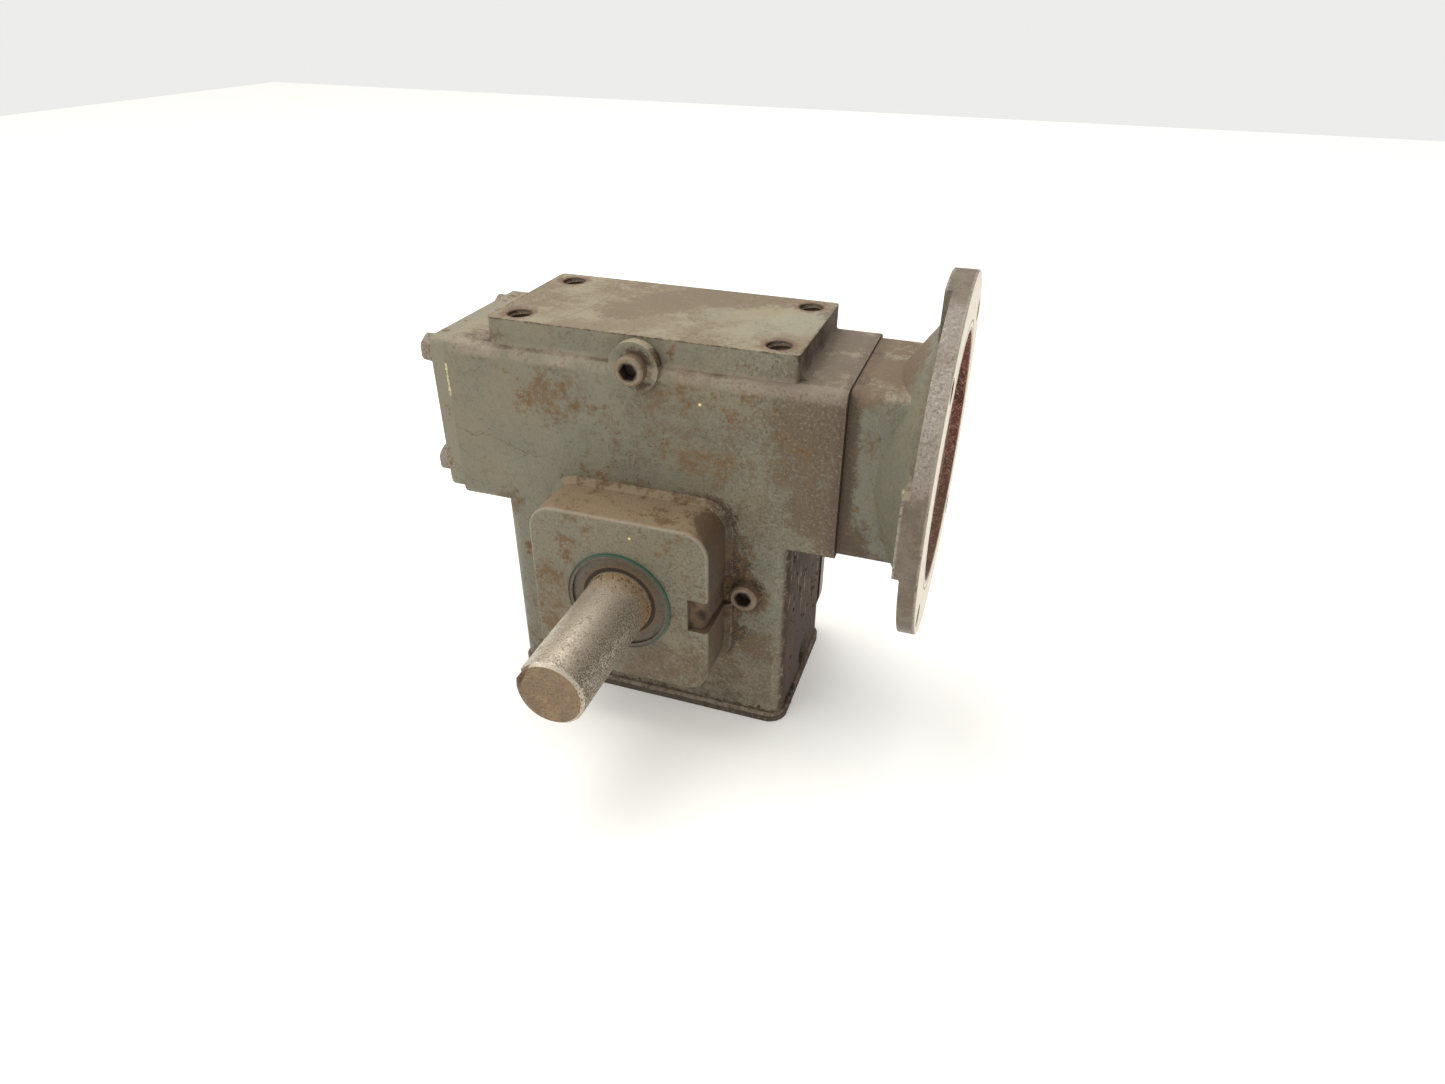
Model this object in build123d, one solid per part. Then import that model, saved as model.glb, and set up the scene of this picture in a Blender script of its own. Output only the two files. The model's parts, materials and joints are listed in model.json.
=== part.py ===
from build123d import *
import math
import os

# Right-angle worm-gear speed reducer with a C-face motor adapter.
# Millimetres. +Z up, origin on the foot plane, under the output shaft, in the gear's mid-plane.
# +X runs along the worm towards the motor flange, -Y along the output shaft's free end.

# --- gear pair ------------------------------------------------------------------------------------
CENTRE_DISTANCE = 66.675
MODULE = 5.0
WHEEL_TEETH = 20
PRESSURE_ANGLE = 20.0
ADDENDUM = MODULE
DEDENDUM = 1.2 * MODULE
FLANK_CLEARANCE = 0.25
WHEEL_FACE_WIDTH = 20.0
WORM_THREAD_LENGTH = 70.0
THREAD_ROOT_OVERLAP = 1.0
FLANK_STEPS = 4

WHEEL_PITCH_R = MODULE * WHEEL_TEETH / 2
WORM_PITCH_R = CENTRE_DISTANCE - WHEEL_PITCH_R
WORM_LEAD = math.pi * MODULE
WORM_ROOT_R = WORM_PITCH_R - DEDENDUM
WORM_TIP_R = WORM_PITCH_R + ADDENDUM
LEAD_ANGLE = math.degrees(math.atan(WORM_LEAD / (2 * math.pi * WORM_PITCH_R)))

# --- axes -----------------------------------------------------------------------------------------
SHAFT_Z = 79.375
WORM_Z = SHAFT_Z + CENTRE_DISTANCE

# --- worm tunnel, gear case and top pad of the main casting ---------------------------------------
TUNNEL_START_X = -96.84
TUNNEL_END_X = 95.4
TUNNEL_HALF_Y = 41.275
TUNNEL_HALF_Z = 41.275
TUNNEL_EDGE_R = 5.0
CASE_HALF_X = 74.6
CASE_CORNER_R = 8.0
CASE_ROOT_R = 4.0
LIP_HEIGHT = 5.0
LIP_OUT = 1.6
LIP_CHAMFER = 1.2
PAD_HALF_X = 73.6
PAD_HALF_Y = 38.1
PAD_TOP_Z = 199.4
PAD_CORNER_R = 2.5
PAD_ROOT_R = 4.0
PAD_HOLE_X = 62.0
PAD_HOLE_Y = 27.8
PAD_HOLE_R = 5.5
PAD_HOLE_MOUTH_R = 6.6
PAD_HOLE_MOUTH_DEPTH = 0.4
PAD_HOLE_DEPTH = 19.0
TUNNEL_TOP_Z = WORM_Z + TUNNEL_HALF_Z
TUNNEL_BOTTOM_Z = WORM_Z - TUNNEL_HALF_Z

# --- hollows of the main casting ------------------------------------------------------------------
CHAMBER_HALF_X = 64.0
CHAMBER_HALF_Y = 30.0
CHAMBER_FLOOR_Z = 9.0
CHAMBER_CORNER_R = 6.0
INPUT_RELIEF_R = 29.0
END_RELIEF_R = 24.0
END_RELIEF_X = -58.0
REAR_OPENING_R = 57.0
FILL_POCKET_HALF_X = 12.0
FILL_POCKET_Y = (-26.0, 12.0)
FILL_POCKET_TOP_Z = 191.0

# --- square output boss ---------------------------------------------------------------------------
BOSS_HALF = 44.45
BOSS_CORNER_R = 12.7
BOSS_FACE_Y = -69.3
BOSS_EDGE_R = 0.8
BOSS_ROOT_R = 3.0
NOTCH_X = 34.6
NOTCH_HALF_Z = 8.75

# --- plugs ----------------------------------------------------------------------------------------
PLUG_R = 6.85
PLUG_CHAMFER = 0.9
PLUG_HEX_FLATS = 7.1
PLUG_HEX_DEPTH = 6.0
PLUG_LENGTH = 16.0
FILL_BOSS_R = 11.75
FILL_BOSS_X = 0.8
FILL_BOSS_Z = 186.6
FILL_BOSS_FACE_Y = -43.6
FILL_PLUG_FACE_Y = -49.0
LEVEL_PLUG_X = 54.3
LEVEL_PLUG_Z = 77.5
LEVEL_PLUG_FACE_Y = -46.5
DRAIN_PLUG_Y = 4.0
DRAIN_PLUG_Z = 14.5
DRAIN_COUNTERBORE_R = 8.6
DRAIN_COUNTERBORE_DEPTH = 2.5
DRAIN_PLUG_RECESS = 3.5

# --- bearings: bore radius, outer radius, width ---------------------------------------------------
OUTPUT_BEARING = (17.5, 31.0, 14.0)
WORM_INPUT_BEARING = (15.0, 31.0, 16.0)
WORM_END_BEARING = (12.5, 26.0, 15.0)
FRONT_BEARING_Y = -60.0
REAR_BEARING_Y = 32.0
WORM_INPUT_BEARING_X = TUNNEL_END_X - WORM_INPUT_BEARING[2]
WORM_END_BEARING_X = TUNNEL_START_X
BALL_SHARE = 0.28
RACE_SHARE = 0.55
RACE_GAP = 0.3
CAGE_HALF_THICK_SHARE = 0.3
CAGE_HALF_WIDTH_SHARE = 1.25
CAGE_POCKET_GAP = 0.1
BALL_SPACING = 2.7
SNAP_RING_THICK = 1.8
SNAP_RING_INNER_R = 28.0
SNAP_RING_OUTER_R = 32.8
SNAP_GROOVE_R = 33.0

# --- output shaft: radii and the planes where they change -----------------------------------------
SHAFT_R = 15.875
SHAFT_END_Y = -139.7
SHAFT_CHAMFER = 1.5
SEAL_JOURNAL_Y = -70.6
SEAL_JOURNAL_R = 16.5
SHOULDER_R = 22.0
SHOULDER_Y = (-46.0, -14.0)
WHEEL_SEAT_R = 20.0
WHEEL_SEAT_Y = (-14.0, 16.0)
SHAFT_REAR_Y = 45.8
KEYWAY_WIDTH = 6.35
KEYWAY_DEPTH = 3.2
KEYWAY_LENGTH = 48.0
KEYWAY_ANGLE = 155.0
WHEEL_KEY_WIDTH = 10.0
WHEEL_KEY_HEIGHT = 8.0
WHEEL_KEY_LENGTH = 24.0
HUB_R = 30.0
HUB_DISC_HALF_Y = 7.5
RIM_INNER_R = 39.0
SPACER_OUTER_R = 22.5

# --- oil seals ------------------------------------------------------------------------------------
SEAL_OUTER_R = 26.19
SEAL_FACE_Y = -70.4
SEAL_INNER_Y = -62.0
SEAL_BORE_END_Y = -60.0
SEAL_COAT = 0.6
SEAL_LIP_THICK = 2.0
SEAL_RUNNING_GAP = 0.05
SEAL_FACE_DISH = 1.2
SEAL_FACE_RIM = 1.6
INPUT_SEAL_R = 23.5
INPUT_SEAL_X = (102.0, 110.0)

# --- worm shaft -----------------------------------------------------------------------------------
WORM_SHOULDER_INPUT_R = 18.0
WORM_SHOULDER_INPUT_X = 66.0
WORM_SHOULDER_END_R = 15.5
WORM_SHOULDER_END_X = -66.0
WORM_JOURNAL_R = 14.5
WORM_INPUT_END_X = 121.0
WORM_REAR_END_X = -96.3
MOTOR_BORE_R = 7.95
MOTOR_BORE_START_X = 72.0
MOTOR_KEYWAY_WIDTH = 4.8
MOTOR_KEYWAY_RISE = 2.2

# --- end cover ------------------------------------------------------------------------------------
GASKET = 0.5
END_COVER_THICK = 7.16
END_COVER_CHAMFER = 0.5
END_COVER_BOTTOM_Z = 107.9
END_BOLT_Y = 33.0
END_BOLT_Z = (120.4, 178.8)
SPIGOT_WALL = 4.0
SPIGOT_GAP = 0.1

# --- motor adapter --------------------------------------------------------------------------------
ADAPTER_HALF_Y = 38.5
ADAPTER_HALF_Z = 40.5
ADAPTER_EDGE_R = 6.0
FLANGE_FACE_X = 137.1
FLANGE_R = 82.55
FLANGE_THICK = 10.8
FLANGE_THIN = 7.76
FLANGE_RIB_HALF = 17.9
FLANGE_EDGE_CHAMFER = 0.5
FLANGE_PCD = 149.225
FLANGE_HOLE_R = 5.2
REGISTER_R = 57.15
REGISTER_DEPTH = 4.8
REGISTER_CHAMFER = 0.4
CONE_SLOPE = 1.43
CONE_REF_X = 109.8
CONE_REF_R = 38.0
CONE_START_X = 103.0
CONE_WALL = 7.5
BELL_FLOOR_X = 110.0
BELL_HALF_Y = 34.0
BELL_HALF_Z = 35.5
BELL_CORNER_R = 7.0
BELL_SQUARE_END_X = 127.0
ADAPTER_SCREW_Y = 27.5
ADAPTER_SCREW_Z = 28.5
ADAPTER_SHAFT_HOLE_R = 16.5

# --- rear cover -----------------------------------------------------------------------------------
REAR_COVER_HALF_X = 74.2
REAR_COVER_HALF_Z = 72.8
REAR_COVER_THICK = 8.6
REAR_COVER_CORNER_R = 20.0
REAR_COVER_EDGE_R = 1.0
REAR_SPIGOT_Y = 34.0
REAR_SPIGOT_WALL = 6.0
REAR_HUB_R = 39.0
REAR_HUB_Y = 28.0
REAR_CAP_R = 41.0
REAR_CAP_Y = 54.0
REAR_SEAT_END_Y = 46.2
REAR_BOLT_R = 66.0
REAR_BOLT_COUNT = 6

# --- fasteners ------------------------------------------------------------------------------------
BOLT_R = 3.9
BOLT_HOLE_R = 4.0
BOLT_CLEARANCE_R = 4.2
BOLT_HEX_FLATS = 12.7
BOLT_HEAD = 4.9
BOLT_HEAD_CHAMFER = 0.6
BOLT_GRIP = 9.0
WASHER_R = 6.7
WASHER_BORE_R = 4.1
WASHER_THICK = 1.4
WASHER_GAP = 1.2
SCREW_HEAD_R = 5.95
SCREW_HEAD = 7.9
SCREW_HEX_FLATS = 6.35
SCREW_HEX_DEPTH = 4.0

OVERCUT = 1.0


# --- basic solids ---------------------------------------------------------------------------------
def block(x_span, y_span, z_span):
    """A box given by its span along each axis."""
    size = [span[1] - span[0] for span in (x_span, y_span, z_span)]
    middle = [(span[1] + span[0]) / 2 for span in (x_span, y_span, z_span)]
    return Pos(*middle) * Box(*size)


def rod_x(radius, x_start, x_end, y=0.0, z=WORM_Z):
    """A cylinder along X."""
    rod = Rot(0, 90, 0) * Cylinder(radius, x_end - x_start)
    return Pos((x_start + x_end) / 2, y, z) * rod


def rod_y(radius, y_start, y_end, x=0.0, z=SHAFT_Z):
    """A cylinder along Y."""
    rod = Rot(90, 0, 0) * Cylinder(radius, y_end - y_start)
    return Pos(x, (y_start + y_end) / 2, z) * rod


def rod_z(radius, z_start, z_end, x, y):
    """A cylinder along Z."""
    return Pos(x, y, (z_start + z_end) / 2) * Cylinder(radius, z_end - z_start)


def ring_x(outer_r, inner_r, x_start, x_end):
    return rod_x(outer_r, x_start, x_end) - rod_x(inner_r, x_start - OVERCUT, x_end + OVERCUT)


def ring_y(outer_r, inner_r, y_start, y_end):
    return rod_y(outer_r, y_start, y_end) - rod_y(inner_r, y_start - OVERCUT, y_end + OVERCUT)


def cone_x(x_start, x_end, r_start, r_end):
    """A cone about the worm axis."""
    cone = Rot(0, 90, 0) * Cone(r_start, r_end, x_end - x_start)
    return Pos((x_start + x_end) / 2, 0, WORM_Z) * cone


def hex_prism(flats, depth):
    """A hexagonal prism along Z that starts at z = 0."""
    outline = RegularPolygon(flats / 2, 6, major_radius=False)
    return extrude(outline, amount=depth)


def on_worm(start_x):
    """The placement of a piece made about Z whose near face lies at start_x on the worm."""
    return Pos(start_x, 0, WORM_Z) * Rot(0, 90, 0)


def group(solids):
    """Several separate solids of one node."""
    return Compound(children=[solid for part in solids for solid in part.solids()])


# --- main casting ---------------------------------------------------------------------------------
def casting_outside():
    tunnel = block(
        (TUNNEL_START_X, TUNNEL_END_X),
        (-TUNNEL_HALF_Y, TUNNEL_HALF_Y),
        (TUNNEL_BOTTOM_Z, TUNNEL_TOP_Z),
    )
    tunnel = fillet(tunnel.edges().filter_by(Axis.X), TUNNEL_EDGE_R)
    case = block((-CASE_HALF_X, CASE_HALF_X), (-TUNNEL_HALF_Y, TUNNEL_HALF_Y), (0, WORM_Z))
    case = fillet(case.edges().filter_by(Axis.Z), CASE_CORNER_R)
    lip_x = CASE_HALF_X + LIP_OUT
    lip_y = TUNNEL_HALF_Y + LIP_OUT
    lip = block((-lip_x, lip_x), (-lip_y, lip_y), (0, LIP_HEIGHT))
    lip = fillet(lip.edges().filter_by(Axis.Z), CASE_CORNER_R + LIP_OUT)
    lip = chamfer(lip.faces().sort_by(Axis.Z)[-1].edges(), LIP_CHAMFER)
    pad = block((-PAD_HALF_X, PAD_HALF_X), (-PAD_HALF_Y, PAD_HALF_Y), (WORM_Z, PAD_TOP_Z))
    pad = fillet(pad.edges().filter_by(Axis.Z), PAD_CORNER_R)
    fill_boss = rod_y(FILL_BOSS_R, FILL_BOSS_FACE_Y, FILL_POCKET_Y[0], FILL_BOSS_X, FILL_BOSS_Z)
    body = tunnel + case + lip + pad + fill_boss + output_boss()
    return body + root_fillets()


def output_boss():
    boss = block(
        (-BOSS_HALF, BOSS_HALF),
        (BOSS_FACE_Y, -CHAMBER_HALF_Y),
        (SHAFT_Z - BOSS_HALF, SHAFT_Z + BOSS_HALF),
    )
    boss = fillet(boss.edges().filter_by(Axis.Y), BOSS_CORNER_R)
    boss = fillet(boss.faces().sort_by(Axis.Y)[0].edges(), BOSS_EDGE_R)
    foot = BOSS_HALF + BOSS_ROOT_R
    skirt = block(
        (-foot, foot),
        (-TUNNEL_HALF_Y - BOSS_ROOT_R, -CHAMBER_HALF_Y),
        (SHAFT_Z - foot, SHAFT_Z + foot),
    )
    skirt = fillet(skirt.edges().filter_by(Axis.Y), BOSS_CORNER_R + BOSS_ROOT_R)
    skirt = chamfer(skirt.faces().sort_by(Axis.Y)[0].edges(), BOSS_ROOT_R - SPIGOT_GAP)
    notch = block(
        (NOTCH_X, BOSS_HALF + foot),
        (BOSS_FACE_Y - OVERCUT, -TUNNEL_HALF_Y),
        (SHAFT_Z - NOTCH_HALF_Z, SHAFT_Z + NOTCH_HALF_Z),
    )
    return boss + skirt - notch


def root_fillets():
    """Concave fillets under the tunnel beside the case, and at both ends of the pad."""
    fillets = []
    for side in (-1, 1):
        for root_x, root_z, radius, half_y, rise in (
            (CASE_HALF_X, TUNNEL_BOTTOM_Z, CASE_ROOT_R, TUNNEL_HALF_Y - CASE_CORNER_R, -1),
            (PAD_HALF_X, TUNNEL_TOP_Z, PAD_ROOT_R, TUNNEL_HALF_Y - CASE_CORNER_R, 1),
        ):
            far_x = root_x + radius
            far_z = root_z + rise * radius
            inner_x = root_x - radius
            bar = block(
                sorted((side * inner_x, side * far_x)),
                (-half_y, half_y),
                sorted((root_z - rise * radius, far_z)),
            )
            bar -= rod_y(radius, -half_y - OVERCUT, half_y + OVERCUT, side * far_x, far_z)
            fillets.append(bar)
    return group(fillets)


def casting_hollows():
    chamber = block(
        (-CHAMBER_HALF_X, CHAMBER_HALF_X), (-CHAMBER_HALF_Y, CHAMBER_HALF_Y), (CHAMBER_FLOOR_Z, WORM_Z)
    )
    chamber = fillet(chamber.edges().filter_by(Axis.Y), CHAMBER_CORNER_R)
    start_x = TUNNEL_START_X - OVERCUT
    seat_r = OUTPUT_BEARING[1]
    snap_y = FRONT_BEARING_Y + OUTPUT_BEARING[2]
    hollows = [
        chamber,
        rod_x(INPUT_RELIEF_R, END_RELIEF_X, WORM_INPUT_BEARING_X + OVERCUT),
        rod_x(WORM_INPUT_BEARING[1], WORM_INPUT_BEARING_X, TUNNEL_END_X + OVERCUT),
        rod_x(END_RELIEF_R, WORM_END_BEARING_X + OVERCUT, END_RELIEF_X + OVERCUT),
        rod_x(WORM_END_BEARING[1], start_x, WORM_END_BEARING_X + WORM_END_BEARING[2]),
        rod_y(REAR_OPENING_R, CHAMBER_HALF_Y - OVERCUT, TUNNEL_HALF_Y + OVERCUT),
        rod_y(seat_r, FRONT_BEARING_Y, -CHAMBER_HALF_Y + OVERCUT),
        rod_y(SNAP_GROOVE_R, snap_y, snap_y + SNAP_RING_THICK),
        rod_y(SEAL_OUTER_R, BOSS_FACE_Y - OVERCUT, SEAL_BORE_END_Y + SPIGOT_GAP),
        block((-FILL_POCKET_HALF_X, FILL_POCKET_HALF_X), FILL_POCKET_Y, (WORM_Z, FILL_POCKET_TOP_Z)),
        rod_y(PLUG_R, FILL_BOSS_FACE_Y - OVERCUT, FILL_POCKET_Y[0] + OVERCUT, FILL_BOSS_X, FILL_BOSS_Z),
        rod_y(PLUG_R, -TUNNEL_HALF_Y - OVERCUT, -CHAMBER_HALF_Y + OVERCUT, LEVEL_PLUG_X, LEVEL_PLUG_Z),
        rod_x(
            PLUG_R,
            CASE_HALF_X - DRAIN_PLUG_RECESS - PLUG_LENGTH - OVERCUT,
            CASE_HALF_X + OVERCUT,
            DRAIN_PLUG_Y,
            DRAIN_PLUG_Z,
        ),
        rod_x(
            DRAIN_COUNTERBORE_R,
            CASE_HALF_X - DRAIN_COUNTERBORE_DEPTH,
            CASE_HALF_X + 2 * LIP_OUT,
            DRAIN_PLUG_Y,
            DRAIN_PLUG_Z,
        ),
    ]
    return hollows


def casting_bolt_holes():
    holes = []
    for y, z in end_bolt_places():
        holes.append(rod_x(BOLT_HOLE_R, TUNNEL_START_X - OVERCUT, TUNNEL_START_X + BOLT_GRIP + OVERCUT, y, z))
    for y, z in adapter_screw_places():
        holes.append(rod_x(BOLT_HOLE_R, TUNNEL_END_X - BOLT_GRIP - OVERCUT, TUNNEL_END_X + OVERCUT, y, z))
    for x, z in rear_bolt_places():
        holes.append(rod_y(BOLT_HOLE_R, TUNNEL_HALF_Y - BOLT_GRIP - OVERCUT, TUNNEL_HALF_Y + OVERCUT, x, z))
    for x in (-PAD_HOLE_X, PAD_HOLE_X):
        for y in (-PAD_HOLE_Y, PAD_HOLE_Y):
            mouth = Cone(PAD_HOLE_R, PAD_HOLE_MOUTH_R, PAD_HOLE_MOUTH_DEPTH)
            holes.append(rod_z(PAD_HOLE_R, PAD_TOP_Z - PAD_HOLE_DEPTH, PAD_TOP_Z + OVERCUT, x, y))
            holes.append(Pos(x, y, PAD_TOP_Z - PAD_HOLE_MOUTH_DEPTH / 2) * mouth)
    return holes


def end_bolt_places():
    return [(side * END_BOLT_Y, z) for side in (-1, 1) for z in END_BOLT_Z]


def adapter_screw_places():
    return [
        (side * ADAPTER_SCREW_Y, WORM_Z + level * ADAPTER_SCREW_Z) for side in (-1, 1) for level in (-1, 1)
    ]


def rear_bolt_places():
    turns = [2 * math.pi * index / REAR_BOLT_COUNT for index in range(REAR_BOLT_COUNT)]
    return [(REAR_BOLT_R * math.cos(turn), SHAFT_Z + REAR_BOLT_R * math.sin(turn)) for turn in turns]


def housing_casting():
    body = casting_outside()
    for hollow in casting_hollows() + casting_bolt_holes():
        body -= hollow
    return body


# --- end cover ------------------------------------------------------------------------------------
def end_plate(x_start, x_end):
    plate = block((x_start, x_end), (-TUNNEL_HALF_Y, TUNNEL_HALF_Y), (END_COVER_BOTTOM_Z, TUNNEL_TOP_Z))
    plate = fillet(plate.edges().filter_by(Axis.X), TUNNEL_EDGE_R)
    for y, z in end_bolt_places():
        plate -= rod_x(BOLT_CLEARANCE_R, x_start - OVERCUT, x_end + OVERCUT, y, z)
    return plate


def end_cover():
    inner = TUNNEL_START_X - GASKET
    bearing_r = WORM_END_BEARING[1] - SPIGOT_GAP
    spigot = ring_x(bearing_r, bearing_r - SPIGOT_WALL, inner, TUNNEL_START_X - SPIGOT_GAP)
    cover = end_plate(inner - END_COVER_THICK, inner)
    cover = chamfer(cover.faces().sort_by(Axis.X)[0].outer_wire().edges(), END_COVER_CHAMFER)
    return cover + spigot


def end_cover_gasket():
    sheet = end_plate(TUNNEL_START_X - GASKET, TUNNEL_START_X)
    return sheet - rod_x(WORM_END_BEARING[1], TUNNEL_START_X - OVERCUT, TUNNEL_START_X + OVERCUT)


# --- fasteners ------------------------------------------------------------------------------------
def hex_bolt(grip):
    """A hexagon bolt: head on z = 0 upwards, shank below."""
    head = hex_prism(BOLT_HEX_FLATS, BOLT_HEAD)
    dome = BOLT_HEX_FLATS / math.sqrt(3)
    crown = Pos(0, 0, BOLT_HEAD / 2) * Cylinder(dome, BOLT_HEAD)
    crown = chamfer(crown.edges().sort_by(Axis.Z)[-1], BOLT_HEAD_CHAMFER)
    shank = Pos(0, 0, -grip / 2) * Cylinder(BOLT_R, grip)
    shank = chamfer(shank.edges().sort_by(Axis.Z)[0], BOLT_HEAD_CHAMFER)
    return (head & crown) + shank


def lock_washer():
    """A split spring washer that lies on z = 0."""
    washer = Pos(0, 0, WASHER_THICK / 2) * (
        Cylinder(WASHER_R, WASHER_THICK) - Cylinder(WASHER_BORE_R, WASHER_THICK + OVERCUT)
    )
    split = Pos(WASHER_R, 0, WASHER_THICK / 2) * Box(WASHER_R, WASHER_GAP, WASHER_THICK + OVERCUT)
    return washer - split


def socket_screw(grip):
    """A socket-head cap screw: head on z = 0 upwards, shank below."""
    head = Pos(0, 0, SCREW_HEAD / 2) * Cylinder(SCREW_HEAD_R, SCREW_HEAD)
    head = chamfer(head.edges().sort_by(Axis.Z)[-1], BOLT_HEAD_CHAMFER)
    socket = Pos(0, 0, SCREW_HEAD - SCREW_HEX_DEPTH) * hex_prism(SCREW_HEX_FLATS, SCREW_HEX_DEPTH + OVERCUT)
    shank = Pos(0, 0, -grip / 2) * Cylinder(BOLT_R, grip)
    return head + shank - socket


def end_cover_fasteners(piece, offset):
    seat_x = TUNNEL_START_X - GASKET - END_COVER_THICK - offset
    return group([Pos(seat_x, y, z) * Rot(0, -90, 0) * piece for y, z in end_bolt_places()])


def rear_cover_fasteners(piece, offset):
    seat_y = TUNNEL_HALF_Y + GASKET + REAR_COVER_THICK + offset
    return group([Pos(x, seat_y, z) * Rot(-90, 0, 0) * piece for x, z in rear_bolt_places()])


def adapter_screws():
    screw = Rot(0, 90, 0) * socket_screw(BELL_FLOOR_X - TUNNEL_END_X + BOLT_GRIP)
    return group([Pos(BELL_FLOOR_X, y, z) * screw for y, z in adapter_screw_places()])


def pipe_plug():
    """A hexagon-socket pipe plug: outer face on z = 0, body below."""
    body = Pos(0, 0, -PLUG_LENGTH / 2) * Cylinder(PLUG_R, PLUG_LENGTH)
    body = chamfer(body.edges().filter_by(GeomType.CIRCLE), PLUG_CHAMFER)
    return body - Pos(0, 0, -PLUG_HEX_DEPTH) * hex_prism(PLUG_HEX_FLATS, PLUG_HEX_DEPTH + OVERCUT)


def fill_plug():
    return Pos(FILL_BOSS_X, FILL_PLUG_FACE_Y, FILL_BOSS_Z) * Rot(90, 0, 0) * pipe_plug()


def level_plug():
    return Pos(LEVEL_PLUG_X, LEVEL_PLUG_FACE_Y, LEVEL_PLUG_Z) * Rot(90, 0, 0) * pipe_plug()


def drain_plug():
    face_x = CASE_HALF_X - DRAIN_PLUG_RECESS
    return Pos(face_x, DRAIN_PLUG_Y, DRAIN_PLUG_Z) * Rot(0, 90, 0) * pipe_plug()


# --- motor adapter --------------------------------------------------------------------------------
def adapter_start():
    return TUNNEL_END_X + GASKET


def cone_radius(x):
    return CONE_REF_R + CONE_SLOPE * (x - CONE_REF_X)


def adapter_outside():
    thin_x = FLANGE_FACE_X - FLANGE_THIN
    thick_x = FLANGE_FACE_X - FLANGE_THICK
    neck = block(
        (adapter_start(), thin_x + OVERCUT),
        (-ADAPTER_HALF_Y, ADAPTER_HALF_Y),
        (WORM_Z - ADAPTER_HALF_Z, WORM_Z + ADAPTER_HALF_Z),
    )
    neck = fillet(neck.edges().filter_by(Axis.X), ADAPTER_EDGE_R)
    cone = cone_x(CONE_START_X, thin_x + OVERCUT, cone_radius(CONE_START_X), cone_radius(thin_x + OVERCUT))
    disc = rod_x(FLANGE_R, thick_x, FLANGE_FACE_X)
    disc = chamfer(disc.edges().sort_by(Axis.X)[-1], FLANGE_EDGE_CHAMFER)
    for side in (-1, 1):
        for level in (-1, 1):
            disc -= block(
                (thick_x - OVERCUT, thin_x),
                sorted((side * FLANGE_RIB_HALF, side * (FLANGE_R + OVERCUT))),
                sorted((WORM_Z + level * FLANGE_RIB_HALF, WORM_Z + level * (FLANGE_R + OVERCUT))),
            )
    return neck + cone + disc


def adapter_hollows():
    register_x = FLANGE_FACE_X - REGISTER_DEPTH
    square = block(
        (BELL_FLOOR_X, BELL_SQUARE_END_X),
        (-BELL_HALF_Y, BELL_HALF_Y),
        (WORM_Z - BELL_HALF_Z, WORM_Z + BELL_HALF_Z),
    )
    square = fillet(square.edges().filter_by(Axis.X), BELL_CORNER_R)
    inner_end_x = register_x + REGISTER_CHAMFER
    inner_start_r = cone_radius(BELL_FLOOR_X) - CONE_WALL
    inner_end_r = REGISTER_R - REGISTER_CHAMFER * 2
    hollows = [
        square,
        cone_x(BELL_FLOOR_X, inner_end_x, inner_start_r, inner_end_r),
        rod_x(REGISTER_R, register_x, FLANGE_FACE_X + OVERCUT),
        cone_x(
            FLANGE_FACE_X - REGISTER_CHAMFER,
            FLANGE_FACE_X + REGISTER_CHAMFER,
            REGISTER_R,
            REGISTER_R + 2 * REGISTER_CHAMFER,
        ),
        rod_x(INPUT_SEAL_R, INPUT_SEAL_X[0], BELL_FLOOR_X + OVERCUT),
        rod_x(ADAPTER_SHAFT_HOLE_R, adapter_start() - OVERCUT, INPUT_SEAL_X[0] + OVERCUT),
    ]
    for y, z in adapter_screw_places():
        hollows.append(rod_x(BOLT_CLEARANCE_R, adapter_start() - OVERCUT, BELL_FLOOR_X + OVERCUT, y, z))
    back_x = FLANGE_FACE_X - FLANGE_THICK
    for y, z in flange_hole_places():
        hollows.append(rod_x(FLANGE_HOLE_R, back_x - OVERCUT, FLANGE_FACE_X + OVERCUT, y, z))
    return hollows


def flange_hole_places():
    reach = FLANGE_PCD / 2 / math.sqrt(2)
    return [(side * reach, WORM_Z + level * reach) for side in (-1, 1) for level in (-1, 1)]


def input_adapter():
    body = adapter_outside()
    for hollow in adapter_hollows():
        body -= hollow
    bearing_r = WORM_INPUT_BEARING[1] - SPIGOT_GAP
    spigot = ring_x(bearing_r, bearing_r - SPIGOT_WALL, TUNNEL_END_X + SPIGOT_GAP, adapter_start())
    return body + spigot


def adapter_gasket():
    sheet = block(
        (TUNNEL_END_X, adapter_start()),
        (-ADAPTER_HALF_Y, ADAPTER_HALF_Y),
        (WORM_Z - ADAPTER_HALF_Z, WORM_Z + ADAPTER_HALF_Z),
    )
    sheet = fillet(sheet.edges().filter_by(Axis.X), ADAPTER_EDGE_R)
    sheet -= rod_x(WORM_INPUT_BEARING[1], TUNNEL_END_X - OVERCUT, adapter_start() + OVERCUT)
    for y, z in adapter_screw_places():
        sheet -= rod_x(BOLT_CLEARANCE_R, TUNNEL_END_X - OVERCUT, adapter_start() + OVERCUT, y, z)
    return sheet


# --- rear cover -----------------------------------------------------------------------------------
def rear_plate(y_start, y_end):
    plate = block(
        (-REAR_COVER_HALF_X, REAR_COVER_HALF_X),
        (y_start, y_end),
        (SHAFT_Z - REAR_COVER_HALF_Z, SHAFT_Z + REAR_COVER_HALF_Z),
    )
    plate = fillet(plate.edges().filter_by(Axis.Y), REAR_COVER_CORNER_R)
    for x, z in rear_bolt_places():
        plate -= rod_y(BOLT_CLEARANCE_R, y_start - OVERCUT, y_end + OVERCUT, x, z)
    return plate


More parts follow.
